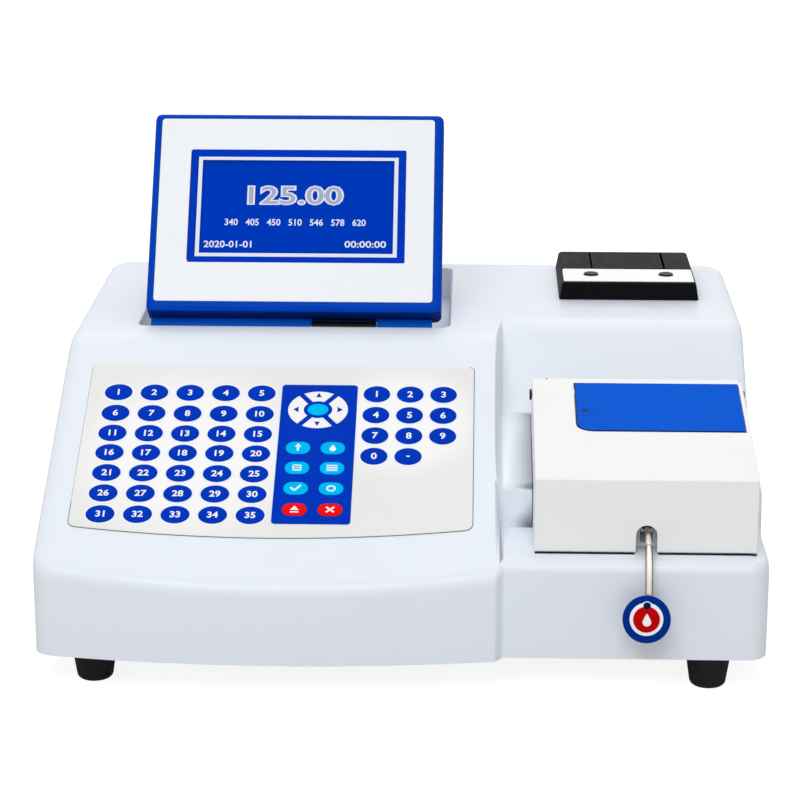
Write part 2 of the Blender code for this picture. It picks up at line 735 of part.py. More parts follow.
pads = plate("pad_faces", pad_loops, FILM_FACE + KEY_RISE - 0.0002, FILM_FACE + 2 * KEY_RISE, SLOPE_M,
             CUTTERS, KEY_CYAN)
join(film, keys, pads)

# Base pan and feet
PAN_Z = SKIRT_Z + PAN_UP
PAN_EDGE = WALL + 0.0008


def pan_outline(inset):
    half = BODY_W / 2 - inset
    pts = []
    for k in range(17):
        x = -half + SIDE_R - inset + (SEAM_X + half - SIDE_R + inset) * k / 16
        pts.append((x, front_y(x) + inset))
    pts[-1] = (SEAM_X - SEAM_W, BAY_FRONT_Y + inset)
    pts.append((SEAM_X + SEAM_W, BAY_FRONT_Y + inset))
    r = SIDE_R - inset
    for k in range(4):
        a = math.radians(270 + 90 * k / 3)
        pts.append((half - r + r * math.cos(a), BAY_FRONT_Y + inset + r + r * math.sin(a)))
    for k in range(4):
        a = math.radians(90 * k / 3)
        pts.append((half - r + r * math.cos(a), REAR_Y - inset - r + r * math.sin(a)))
    for k in range(4):
        a = math.radians(90 + 90 * k / 3)
        pts.append((-half + r + r * math.cos(a), REAR_Y - inset - r + r * math.sin(a)))
    for k in range(3):
        a = math.radians(180 + 90 * k / 3)
        pts.append((-half + r + r * math.cos(a), front_y(-half + r) + inset + r + r * math.sin(a)))
    return pts


PAN_TOP = PAN_Z + PAN_T
pan_bm = bmesh.new()
pan_levels = []
for inset, z in ((PAN_EDGE, PAN_Z), (PAN_EDGE, PAN_Z + PAN_RIM), (PAN_EDGE + PAN_T, PAN_Z + PAN_RIM),
                 (PAN_EDGE + PAN_T, PAN_TOP)):
    pan_levels.append([pan_bm.verts.new((x, y, z)) for x, y in pan_outline(inset)])
for low, high in zip(pan_levels, pan_levels[1:]):
    for k in range(len(low)):
        j = (k + 1) % len(low)
        pan_bm.faces.new((low[k], low[j], high[j], high[k]))
pan_bm.faces.new(list(reversed(pan_levels[0])))
pan_bm.faces.new(pan_levels[-1])
bmesh.ops.recalc_face_normals(pan_bm, faces=pan_bm.faces)
pan = bm_to("base_pan", pan_bm, PARTS, ZINC, 35)
for k in range(6):
    x = -0.075 + 0.030 * k
    vent = plate("vent_%d" % k, [rounded(x, x + 0.0036, 0.060, 0.120, 0.0017, 2)],
                 PAN_Z - 0.01, PAN_TOP + 0.01, FLAT)
    cut(pan, vent)

FOOT_TOP = PAN_Z - SEAT
FOOT_RIM_Z = SKIRT_Z - SEAT
foot_profile = [(0.0, FOOT_TOP), (FOOT_BOSS_R, FOOT_TOP), (FOOT_BOSS_R, FOOT_RIM_Z), (FOOT_R_TOP, FOOT_RIM_Z)]
for k in range(4):
    a = math.radians(90 * k / 3)
    foot_profile.append((FOOT_R_LOW - FOOT_EDGE_R + FOOT_EDGE_R * math.cos(a),
                         FOOT_EDGE_R - FOOT_EDGE_R * math.sin(a)))
foot_profile.append((0.0, 0.0))
for label, fx, fy in (("foot_front_left", -FOOT_X, FOOT_FRONT_Y), ("foot_front_right", FOOT_X, FOOT_FRONT_Y),
                      ("foot_rear_left", -FOOT_X, FOOT_REAR_Y), ("foot_rear_right", FOOT_X, FOOT_REAR_Y)):
    turned(label, foot_profile, (fx, fy, 0.0), PARTS, RUBBER, 20)

# Display
BULGE_X0 = DISP_X0 + BULGE_IN
BULGE_X1 = DISP_X1 - BULGE_IN
BULGE_V0 = BULGE_IN - SHELL_LOW
BULGE_V1 = DISP_V1 - BULGE_IN
shell = box("display_shell", (DISP_X0, -SHELL_LOW, -DISP_T), (DISP_X1, DISP_V1, 0.0), PARTS, FRAME_BLUE,
            DISP_R, 3, DISP_M)
bulge_bm = bmesh.new()
bmesh.ops.create_cube(bulge_bm, size=1.0)
for vert in bulge_bm.verts:
    back = vert.co.z < 0
    inset = BULGE_TAPER if back else 0.0
    vert.co.x = BULGE_X0 + inset if vert.co.x < 0 else BULGE_X1 - inset
    vert.co.y = BULGE_V0 + inset if vert.co.y < 0 else BULGE_V1 - inset
    vert.co.z = -DISP_T - BULGE_T if back else -DISP_T + 0.003
bmesh.ops.transform(bulge_bm, matrix=DISP_M, verts=bulge_bm.verts)
bulge = bm_to("shell_bulge", bulge_bm, CUTTERS, None)
barrels = [rod("barrel_left", (BARREL_L_X0, AXIS_Y, AXIS_Z), (LUG_X0 - RUN, AXIS_Y, AXIS_Z), BARREL_R,
               segs=20),
           rod("barrel_right", (LUG_X1 + RUN, AXIS_Y, AXIS_Z), (BARREL_R_X1, AXIS_Y, AXIS_Z), BARREL_R,
               segs=20)]
webs = [box("barrel_web_%d" % k, (x0, AXIS_V, AXIS_W - BARREL_BACK),
            (x1, 0.001 - SHELL_LOW, AXIS_W + BARREL_R - 0.0004),
            frame=DISP_M)
        for k, (x0, x1) in enumerate(((BARREL_L_X0, LUG_X0 - RUN), (LUG_X1 + RUN, BARREL_R_X1)))]
LUG_R = BARREL_R - 0.0012
lug_space = rod("lug_space", (LUG_X0 - RUN, AXIS_Y, AXIS_Z), (LUG_X1 + RUN, AXIS_Y, AXIS_Z), LUG_R
                + 0.0008, segs=20)
lug_below = box("lug_below", (LUG_X0 - RUN, AXIS_V - 0.020, AXIS_W - LUG_R - 0.0008),
                (LUG_X1 + RUN, AXIS_V, AXIS_W + LUG_R + 0.0008), frame=DISP_M)
shell_room = box("shell_room", (DISP_X0 + DISP_WALL, 0.0115, -DISP_T + DISP_WALL),
                 (DISP_X1 - DISP_WALL, DISP_V1 - DISP_WALL, -FACE_T - 0.0012), frame=DISP_M)
bulge_room = box("bulge_room", (BULGE_X0 + BULGE_TAPER, BULGE_V0 + BULGE_TAPER, -DISP_T - BULGE_T
                                + DISP_WALL),
                 (BULGE_X1 - BULGE_TAPER, BULGE_V1 - BULGE_TAPER, -DISP_T + DISP_WALL + 0.002), frame=DISP_M)
FACE_X0 = DISP_X0 + FACE_IN_X
FACE_X1 = DISP_X1 - FACE_IN_X - 0.0010
FACE_V0 = FACE_IN_BOTTOM - SHELL_LOW
FACE_V1 = DISP_V1 - FACE_IN_TOP
face_seat = plate("face_seat", [rounded(FACE_X0 - SEAT, FACE_X1 + SEAT, FACE_V0 - SEAT, FACE_V1 + SEAT,
                                        0.002, 3)], -FACE_T, 0.01, DISP_M)
face_door = box("face_door", (FACE_X0 + 0.004, 0.014, -FACE_T - 0.003),
                (FACE_X1 - 0.004, FACE_V1 - 0.003, 0.01),
                frame=DISP_M)
pin_bore = rod("pin_bore", (LUG_X0 - HINGE_PIN_GRIP - 0.0006, AXIS_Y, AXIS_Z),
               (LUG_X1 + HINGE_PIN_GRIP + 0.0006, AXIS_Y, AXIS_Z), HINGE_PIN_R + SEAT, segs=16)
join(shell, bulge, *webs, *barrels)
cut(shell, lug_space, lug_below, face_seat, shell_room, bulge_room, face_door, pin_bore)

face = plate("display_face", [rounded(FACE_X0, FACE_X1, FACE_V0, FACE_V1, 0.002, 3),
                              rounded(SCREEN_X0, SCREEN_X1, SCREEN_V0, SCREEN_V1, 0.0008, 2)],
             -FACE_T + SEAT, FACE_PROUD, DISP_M, PARTS, COVER_WHITE)
lcd_front = -SCREEN_SINK
lcd = plate("lcd_window", [rounded(SCREEN_X0 + SEAT, SCREEN_X1 - SEAT, SCREEN_V0 + SEAT, SCREEN_V1 - SEAT,
                                   0.0006, 2)],
            -FACE_T - 0.0008, lcd_front, DISP_M, PARTS, SCREEN_BLUE)
lcd_body = box("lcd_body", (SCREEN_X0 - LCD_EDGE, SCREEN_V0 - LCD_EDGE, -FACE_T - LCD_T),
               (SCREEN_X1 + LCD_EDGE, SCREEN_V1 + LCD_EDGE, -FACE_T - 0.0004), frame=DISP_M)
join(lcd, lcd_body)
driver = box("display_board", (SCREEN_X0 + 0.004, SCREEN_V0 + 0.004, -FACE_T - LCD_T - 0.0063),
             (SCREEN_X1 - 0.004, SCREEN_V1 - 0.004, -FACE_T - LCD_T - 0.0047), PARTS, BOARD_GREEN,
             frame=DISP_M)
for k, (bx, bv) in enumerate(((0.008, 0.008), (0.128, 0.008), (0.008, 0.066), (0.128, 0.066))):
    post = rod("driver_post_%d" % k, DISP_M @ Vector((SCREEN_X0 + 0.002 + bx, SCREEN_V0 + bv,
                                                      -FACE_T - LCD_T - 0.0050)),
               DISP_M @ Vector((SCREEN_X0 + 0.002 + bx, SCREEN_V0 + bv, -FACE_T - LCD_T - SEAT)), 0.002,
               segs=10)
    join(driver, post)

lug = rod("display_lug", (LUG_X0, AXIS_Y, AXIS_Z), (LUG_X1, AXIS_Y, AXIS_Z), LUG_R, PARTS, BLACK, 20)
lug_foot = box("lug_foot", (LUG_X0, AXIS_Y - LUG_FOOT_HALF, POCKET_FLOOR_Z + SEAT),
               (LUG_X1, AXIS_Y + LUG_FOOT_HALF, AXIS_Z))
lug_bore = rod("lug_bore", (LUG_X0 - 0.01, AXIS_Y, AXIS_Z), (LUG_X1 + 0.01, AXIS_Y, AXIS_Z), HINGE_PIN_R
               + SEAT, segs=16)
join(lug, lug_foot)
cut(lug, lug_bore)
rod("display_pin", (LUG_X0 - HINGE_PIN_GRIP, AXIS_Y, AXIS_Z), (LUG_X1 + HINGE_PIN_GRIP, AXIS_Y, AXIS_Z),
    HINGE_PIN_R, PARTS, STEEL, 16)

# Printer
prn_bm = bmesh.new()
bmesh.ops.create_cube(prn_bm, size=1.0)
for vert in prn_bm.verts:
    high = vert.co.z > 0
    inset = PRN_DRAFT if high else 0.0
    vert.co.x = PRN_X0 + inset if vert.co.x < 0 else PRN_X1 - inset
    vert.co.y = PRN_Y0 + inset / 3 if vert.co.y < 0 else PRN_Y1 - inset
    vert.co.z = PRN_TOP_Z if high else TOP_Z + SEAT
bmesh.ops.bevel(prn_bm, geom=[e for e in prn_bm.edges if max(v.co.z for v in e.verts) > TOP_Z + 0.005],
                offset=0.0018, segments=2, profile=0.5, affect="EDGES")
printer = bm_to("printer_body", prn_bm, PARTS, BLACK, 35)
MECH_X0 = PRN_LID_X0 + 0.0060
MECH_X1 = PRN_LID_X1 - 0.0060
throat = box("printer_throat", (PRN_X0 + PRN_FLANGE + RUN, PRN_Y0 + PRN_FLANGE + RUN, PRN_BOTTOM_Z),
             (PRN_X1 - PRN_FLANGE - RUN, PRN_Y1 - PRN_FLANGE - RUN, TOP_Z + 0.002))
bucket = box("bucket", (PRN_LID_X0 + 0.0012, STRIP_Y1 + 0.0015, PRN_BOTTOM_Z + PRN_WALL),
             (PRN_LID_X1 - 0.0012, PRN_LID_Y1 - 0.0025, PRN_TOP_Z + 0.01))
lid_seat = box("lid_seat", (PRN_LID_X0, PRN_LID_Y0 - 0.001, PRN_TOP_Z - PRN_LID_T - SEAT),
               (PRN_LID_X1, PRN_LID_Y1, PRN_TOP_Z + 0.01))
mech_room = box("mech_room", (MECH_X0 - SEAT, PRN_Y0 + 0.012, 0.148),
                (MECH_X1 + SEAT, STRIP_Y1 + 0.003, PRN_TOP_Z - STRIP_T - 0.0030))
STRIP_X0 = PRN_X0 + STRIP_IN
STRIP_X1 = PRN_X1 - STRIP_IN
strip_seat = plate("strip_seat", [rounded(STRIP_X0 - SEAT, STRIP_X1 + SEAT, STRIP_Y0 - SEAT, STRIP_Y1
                                          + SEAT, 0.0015, 3)],
                   PRN_TOP_Z - STRIP_T + 0.0003, PRN_TOP_Z + 0.01, FLAT)
lid_swing = box("lid_swing", (PRN_LID_X0, PRN_LID_Y1 - 2.2 * LID_AXIS_IN, PRN_TOP_Z - 2 * LID_AXIS_IN),
                (PRN_LID_X1, PRN_LID_Y1, PRN_TOP_Z + 0.01))
LID_AXIS_Y = PRN_LID_Y1 - LID_AXIS_IN
LID_AXIS_Z = PRN_TOP_Z - LID_AXIS_DOWN
lid_bore = rod("lid_bore", (PRN_LID_X0 - LID_PIN_LEN - 0.0002, LID_AXIS_Y, LID_AXIS_Z),
               (PRN_LID_X1 + LID_PIN_LEN + 0.0002, LID_AXIS_Y, LID_AXIS_Z), LID_PIN_R + 0.0002, segs=12)
join(printer, throat)
cut(printer, bucket, lid_seat, mech_room, strip_seat, lid_swing, lid_bore)
BTN_DEEP = 0.0075
for k, bx in enumerate((PRN_BTN_X0, PRN_BTN_X1)):
    well = rod("button_well_%d" % k, (bx, PRN_BTN_Y, PRN_TOP_Z - BTN_DEEP), (bx, PRN_BTN_Y, PRN_TOP_Z + 0.01),
               PRN_BTN_R + RUN, segs=20)
    cut(printer, well)
STRIP_TOP = PRN_TOP_Z + 0.0006
strip = plate("printer_strip", [rounded(STRIP_X0, STRIP_X1, STRIP_Y0, STRIP_Y1, 0.0015, 3),
                                ellipse(PRN_BTN_X0, PRN_BTN_Y, 2 * (PRN_BTN_R + RUN),
                                        2 * (PRN_BTN_R + RUN), 20),
                                ellipse(PRN_BTN_X1, PRN_BTN_Y, 2 * (PRN_BTN_R + RUN),
                                        2 * (PRN_BTN_R + RUN), 20)],
              PRN_TOP_Z - STRIP_T + 0.0006, STRIP_TOP, FLAT, PARTS, COVER_WHITE)
for label, bx in (("printer_button_left", PRN_BTN_X0), ("printer_button_right", PRN_BTN_X1)):
    rod(label, (bx, PRN_BTN_Y, PRN_TOP_Z - BTN_DEEP + PRN_BTN_TRAVEL + SEAT),
        (bx, PRN_BTN_Y, STRIP_TOP + PRN_BTN_PROUD),
        PRN_BTN_R, PARTS, BLACK, 20, edge=0.0004)
LID_IN = RUN
lid_top = PRN_TOP_Z
prn_lid = box("printer_lid", (PRN_LID_X0 + LID_IN, PRN_LID_Y0, lid_top - PRN_LID_T),
              (PRN_LID_X1 - LID_IN, PRN_LID_Y1 - 0.0005, lid_top), PARTS, BLACK, 0.0004, 1)
lid_rib = box("lid_rib", (PRN_LID_X0 + 0.004, PRN_LID_Y0 + 0.004, lid_top - PRN_LID_T - 0.003),
              (PRN_LID_X1 - 0.004, PRN_LID_Y0 + 0.006, lid_top - 0.001))
lid_pins = rod("lid_pins", (PRN_LID_X0 - LID_PIN_LEN, LID_AXIS_Y, LID_AXIS_Z),
               (PRN_LID_X1 + LID_PIN_LEN, LID_AXIS_Y, LID_AXIS_Z),
               LID_PIN_R, segs=12)
join(prn_lid, lid_rib, lid_pins)
ROLL_Y = (STRIP_Y1 + PRN_LID_Y1) / 2 + 0.0005
ROLL_Z = PRN_BOTTOM_Z + PRN_WALL + ROLL_R + SEAT
ROLL_MID = (PRN_LID_X0 + PRN_LID_X1) / 2
roll = rod("paper_roll", (ROLL_MID - ROLL_W / 2, ROLL_Y, ROLL_Z), (ROLL_MID + ROLL_W / 2, ROLL_Y, ROLL_Z),
           ROLL_R, PARTS, PAPER, 28)
roll_core = rod("roll_core", (ROLL_MID - ROLL_W, ROLL_Y, ROLL_Z), (ROLL_MID + ROLL_W, ROLL_Y, ROLL_Z),
                ROLL_CORE_R, segs=16)
cut(roll, roll_core)
PLATEN_Y = STRIP_Y1 - 0.0035
PLATEN_Z = 0.1640
rod("platen_roller", (MECH_X0 + 0.0020, PLATEN_Y, PLATEN_Z), (MECH_X1 - 0.0020, PLATEN_Y, PLATEN_Z),
    PLATEN_R, PARTS, RUBBER, 16)
mech = box("print_mechanism", (MECH_X0, PRN_Y0 + 0.0123, 0.1483), (MECH_X1, STRIP_Y1 + 0.0027, 0.1725),
           PARTS, ALLOY)
mech_gap = box("mech_gap", (MECH_X0 + 0.0020 - SEAT, PLATEN_Y - PLATEN_R - SEAT, PLATEN_Z - PLATEN_R - SEAT),
               (MECH_X1 - 0.0020 + SEAT, STRIP_Y1 + 0.01, 0.18))
mech_slope = box("mech_slope", (PRN_LID_X0, PRN_Y0 + 0.010, 0.1600),
                 (PRN_LID_X1, PLATEN_Y - PLATEN_R - 0.0015, 0.18))
cut(mech, mech_gap, mech_slope)

# Sample cover
COVER_X0 = CHAMBER_X0 + COVER_GAP
COVER_X1 = CHAMBER_X1 - COVER_GAP
COVER_LOW_Z = SHELF_Z + COVER_LIFT
COVER_REAR_Y = COVER_FRONT_Y + COVER_LEN * math.cos(COVER_SLOPE)
COVER_REAR_Z = COVER_FRONT_Z + COVER_LEN * math.sin(COVER_SLOPE)
HINGE_Y = COVER_REAR_Y - COVER_AXIS_IN
HINGE_Z = COVER_REAR_Z - COVER_AXIS_DOWN


def cover_top(y, down=0.0):
    return COVER_FRONT_Z + (y - COVER_FRONT_Y) * math.tan(COVER_SLOPE) - down / math.cos(COVER_SLOPE)


cover = plate("sample_cover", [[(COVER_FRONT_Y, COVER_LOW_Z), (COVER_REAR_Y, COVER_LOW_Z),
                                (COVER_REAR_Y, COVER_REAR_Z), (COVER_FRONT_Y, COVER_FRONT_Z)]],
              COVER_X0, COVER_X1, SIDE_M, PARTS, COVER_WHITE, 30)
soft = cover.modifiers.new("edges", "BEVEL")
soft.width = 0.0009
soft.segments = 2
soft.limit_method = "ANGLE"
soft.angle_limit = math.radians(40)
inner_front = COVER_FRONT_Y + COVER_WALL
inner_rear = COVER_REAR_Y - COVER_WALL
cover_room = plate("cover_room", [[(inner_front, COVER_LOW_Z - 0.01),
                                   (COVER_REAR_Y + 0.01, COVER_LOW_Z - 0.01),
                                   (COVER_REAR_Y + 0.01, COVER_REAR_Z - COVER_LIP),
                                   (inner_rear, COVER_REAR_Z - COVER_LIP),
                                   (inner_rear, cover_top(inner_rear, COVER_TOP_T)),
                                   (inner_front, cover_top(inner_front, COVER_TOP_T))]],
                   COVER_X0 + COVER_WALL, COVER_X1 - COVER_WALL, SIDE_M)
notch = plate("cover_notch", [rounded(NOTCH_X - NOTCH_W / 2, NOTCH_X + NOTCH_W / 2, COVER_LOW_Z - 0.01,
                                      NOTCH_TOP_Z,
                                      (0.0, 0.0, NOTCH_W / 2 - 0.0001, NOTCH_W / 2 - 0.0001), 6)],
              COVER_FRONT_Y - 0.01, COVER_FRONT_Y + 0.01, BACK_M)


def door_outline(grow):
    """Rectangle with its front left corner cut by an arc."""
    pts = []
    for k in range(6):
        a = math.radians(180 + 90 * k / 5)
        pts.append((DOOR_X0 - grow + DOOR_CUT + DOOR_CUT * math.cos(a),
                    DOOR_V0 - grow + DOOR_CUT * 0.86 + DOOR_CUT * 0.86 * math.sin(a)))
    pts += [(DOOR_X1 + grow, DOOR_V0 - grow), (DOOR_X1 + grow, DOOR_V1 + grow),
            (DOOR_X0 - grow, DOOR_V1 + grow)]
    return pts


door_seat = plate("door_seat", [door_outline(DOOR_GAP)], -DOOR_T - 0.0001, 0.01, COVER_M)
door_hole = plate("door_hole", [rounded(DOOR_X0 + DOOR_REST, DOOR_X1 - DOOR_REST, DOOR_V0 + DOOR_REST,
                                        DOOR_V1 - DOOR_REST, 0.003, 3)], -0.02, 0.01, COVER_M)
door_swing = box("door_swing", (DOOR_X0 - DOOR_GAP, DOOR_V1 - DOOR_SWING, -0.02),
                 (DOOR_X1 + DOOR_GAP, DOOR_V1 + DOOR_GAP, 0.01), frame=COVER_M)
DOOR_AXIS_V = DOOR_V1 - DOOR_AXIS_IN
DOOR_PIN_X0 = DOOR_X0 - DOOR_GAP - DOOR_PIN_LEN
DOOR_PIN_X1 = DOOR_X1 + DOOR_GAP + DOOR_PIN_LEN
door_axis = [COVER_M @ Vector((x, DOOR_AXIS_V, -DOOR_AXIS_DOWN)) for x in (DOOR_PIN_X0, DOOR_PIN_X1)]
door_bore = rod("door_bore", door_axis[0] - Vector((0.0002, 0, 0)), door_axis[1] + Vector((0.0002, 0, 0)),
                DOOR_PIN_R + 0.0002, segs=12)
cut(cover, cover_room, notch, door_seat, door_hole, door_swing, door_bore)
for k, hx in enumerate((COVER_X0, COVER_X1)):
    hole = rod("cover_hole_%d" % k, (hx - 0.01, HINGE_Y, HINGE_Z), (hx + 0.01, HINGE_Y, HINGE_Z),
               COVER_PIN_R + SEAT, segs=16)
    cut(cover, hole)
door = plate("cover_door", [door_outline(0.0)], -DOOR_T + SEAT, 0.0004, COVER_M, PARTS, DOOR_BLUE)
dot = rod("door_dimple", COVER_M @ Vector((DOOR_DOT_X, DOOR_DOT_V, 0.0)),
          COVER_M @ Vector((DOOR_DOT_X, DOOR_DOT_V, 0.01)),
          DOOR_DOT_R, segs=20)
door_pins = rod("door_pins", door_axis[0], door_axis[1], DOOR_PIN_R, segs=12)
join(door, door_pins)
cut(door, dot)

# Hinge bracket of the cover, a bent sheet standing at the back of the chamber
EAR_X0 = COVER_X0 + COVER_WALL + 0.0006
EAR_X1 = COVER_X1 - COVER_WALL - 0.0006
BRACKET_Z = CHAMBER_FLOOR_Z + SEAT
bracket = box("cover_bracket", (EAR_X0, HINGE_Y - EAR_HALF, BRACKET_Z),
              (EAR_X1, CHAMBER_REAR_Y - SEAT, BRACKET_Z + BRACKET_T),
              PARTS, ZINC)
for k, (ex0, ex1) in enumerate(((EAR_X0, EAR_X0 + EAR_T), (EAR_X1 - EAR_T, EAR_X1))):
    ear_pts = [(HINGE_Y - EAR_HALF, BRACKET_Z), (HINGE_Y + EAR_HALF, BRACKET_Z),
               (HINGE_Y + EAR_HALF, HINGE_Z)]
    for j in range(1, 8):
        a = math.pi * j / 8
        ear_pts.append((HINGE_Y + EAR_HALF * math.cos(a), HINGE_Z + EAR_HALF * math.sin(a)))
    ear_pts.append((HINGE_Y - EAR_HALF, HINGE_Z))
    ear = plate("bracket_ear_%d" % k, [ear_pts], ex0, ex1, SIDE_M)
    join(bracket, ear)
for k, ex in enumerate((EAR_X0, EAR_X1)):
    ear_hole = rod("ear_hole_%d" % k, (ex - 0.005, HINGE_Y, HINGE_Z), (ex + 0.005, HINGE_Y, HINGE_Z),
                   COVER_PIN_R + SEAT, segs=16)
    cut(bracket, ear_hole)
for label, side, edge in (("cover_pin_left", -1, COVER_X0), ("cover_pin_right", 1, COVER_X1)):
    inside = edge - side * (COVER_WALL + 0.0006 + EAR_T + 0.0012)
    pin = rod(label, (inside, HINGE_Y, HINGE_Z), (edge + side * (SEAT + 0.0004), HINGE_Y, HINGE_Z),
              COVER_PIN_R, PARTS, STEEL, 16)
    head = rod(label + "_head", (edge + side * SEAT, HINGE_Y, HINGE_Z),
               (edge + side * (SEAT + COVER_PIN_HEAD_T), HINGE_Y, HINGE_Z), COVER_PIN_HEAD_R, segs=16)
    join(pin, head)

# Measuring cell and aspirating lever
CELL_X0 = 0.122
CELL_X1 = 0.164
CELL_BEFORE = 0.0134
CELL_LEN = 0.0460
CELL_Y1 = HINGE_Y - EAR_HALF - CELL_BEFORE
CELL_Y0 = CELL_Y1 - CELL_LEN
CELL_TOP_Z = 0.1060
WELL = 0.0127
WELL_X = 0.1460
WELL_Y = (CELL_Y0 + CELL_Y1) / 2
WELL_DEEP = 0.034
cell = box("cell_holder", (CELL_X0, CELL_Y0, CHAMBER_FLOOR_Z + SEAT), (CELL_X1, CELL_Y1, CELL_TOP_Z),
           PARTS, ALLOY, 0.001, 2)
cell_well = box("cell_well", (WELL_X - WELL / 2, WELL_Y - WELL / 2, CELL_TOP_Z - 0.0245),
                (WELL_X + WELL / 2, WELL_Y + WELL / 2, 0.2))
cell_relief = box("cell_relief", (CELL_X0 - 0.01, CELL_Y0 - 0.01, CELL_TOP_Z - 0.008),
                  (CELL_X1 + 0.01, CELL_Y0 + 0.012, 0.2))
cut(cell, cell_well, cell_relief)

CLEVIS_X0 = LEVER_X - LEVER_HUB_W / 2 - RUN - CLEVIS_T
CLEVIS_X1 = LEVER_X + LEVER_HUB_W / 2 + RUN + CLEVIS_T
clevis_pts = [(LEVER_PIVOT_Y - CLEVIS_HALF, SHELF_Z + SEAT), (LEVER_PIVOT_Y + CLEVIS_HALF, SHELF_Z + SEAT),
              (LEVER_PIVOT_Y + CLEVIS_HALF, LEVER_PIVOT_Z)]
for j in range(1, 8):
    a = math.pi * j / 8
    clevis_pts.append((LEVER_PIVOT_Y + CLEVIS_HALF * math.cos(a), LEVER_PIVOT_Z + CLEVIS_HALF * math.sin(a)))
clevis_pts.append((LEVER_PIVOT_Y - CLEVIS_HALF, LEVER_PIVOT_Z))
clevis = plate("lever_clevis", [clevis_pts], CLEVIS_X0, CLEVIS_X1, SIDE_M, PARTS, BLACK)
clevis_gap = box("clevis_gap", (CLEVIS_X0 + CLEVIS_T, LEVER_PIVOT_Y - 0.02, SHELF_Z + 0.003),
                 (CLEVIS_X1 - CLEVIS_T, LEVER_PIVOT_Y + 0.02, LEVER_PIVOT_Z + 0.02))
clevis_bore = rod("clevis_bore", (CLEVIS_X0 - 0.01, LEVER_PIVOT_Y, LEVER_PIVOT_Z),
                  (CLEVIS_X1 + 0.01, LEVER_PIVOT_Y, LEVER_PIVOT_Z),
                  LEVER_PIN_R + SEAT, segs=16)
cut(clevis, clevis_gap, clevis_bore)
rod("lever_pin", (CLEVIS_X0 - 0.0008, LEVER_PIVOT_Y, LEVER_PIVOT_Z),
    (CLEVIS_X1 + 0.0008, LEVER_PIVOT_Y, LEVER_PIVOT_Z),
    LEVER_PIN_R, PARTS, STEEL, 16)


def smooth_path(knots, per=5):
    """Points along a smooth curve through the knots."""
    pts = []
    k = [Vector(v) for v in knots]
    k = [k[0] * 2 - k[1]] + k + [k[-1] * 2 - k[-2]]
    for i in range(1, len(k) - 2):
        for j in range(per):
            t = j / per
            pts.append(0.5 * ((2 * k[i]) + (-k[i - 1] + k[i + 1]) * t
                              + (2 * k[i - 1] - 5 * k[i] + 4 * k[i + 1] - k[i + 2]) * t * t
                              + (-k[i - 1] + 3 * k[i] - 3 * k[i + 1] + k[i + 2]) * t * t * t))
    pts.append(k[-2])
    return pts


DISC_DOWN = Vector((0, -math.sin(DISC_LEAN), -math.cos(DISC_LEAN)))
DISC_OUT = Vector((0, -math.cos(DISC_LEAN), math.sin(DISC_LEAN)))
DISC_C = Vector((DISC_X, DISC_Y, DISC_Z))
rod_end = DISC_C - DISC_OUT * (DISC_T / 2 + LEVER_R + SEAT) - DISC_DOWN * (DISC_R * 0.45)
rod_end.x = LEVER_X
rod_mid = rod_end - DISC_DOWN * 0.0180
lever_path = smooth_path([(LEVER_X, LEVER_PIVOT_Y + 0.0, LEVER_PIVOT_Z),
                          (LEVER_X, LEVER_PIVOT_Y - 0.0100, LEVER_PIVOT_Z + 0.0006),
                          (LEVER_X, COVER_FRONT_Y - 0.0040, LEVER_PIVOT_Z - 0.0012),
                          (LEVER_X, COVER_FRONT_Y - 0.0155, LEVER_PIVOT_Z - 0.0075), tuple(rod_mid),
                          tuple(rod_end)], 4)
lever = wire("aspirate_rod", lever_path, LEVER_R, PARTS, STEEL, 2)
hub = rod("lever_hub", (LEVER_X - LEVER_HUB_W / 2, LEVER_PIVOT_Y, LEVER_PIVOT_Z),
          (LEVER_X + LEVER_HUB_W / 2, LEVER_PIVOT_Y, LEVER_PIVOT_Z),
          LEVER_HUB_R, segs=24)
hub_bore = rod("hub_bore", (LEVER_X - 0.02, LEVER_PIVOT_Y, LEVER_PIVOT_Z),
               (LEVER_X + 0.02, LEVER_PIVOT_Y, LEVER_PIVOT_Z),
               LEVER_PIN_R + SEAT, segs=16)
join(lever, hub)
cut(lever, hub_bore)
disc_back = DISC_C - DISC_OUT * (DISC_T / 2)
disc_front = DISC_C + DISC_OUT * (DISC_T / 2)
rod("aspirate_disc", disc_back, disc_front, DISC_R, PARTS, FRAME_BLUE, 32, edge=0.0005)
label = rod("aspirate_label", disc_front + DISC_OUT * SEAT, disc_front + DISC_OUT * (SEAT + LABEL_T),
            LABEL_R, PARTS, KEY_RED, 32)

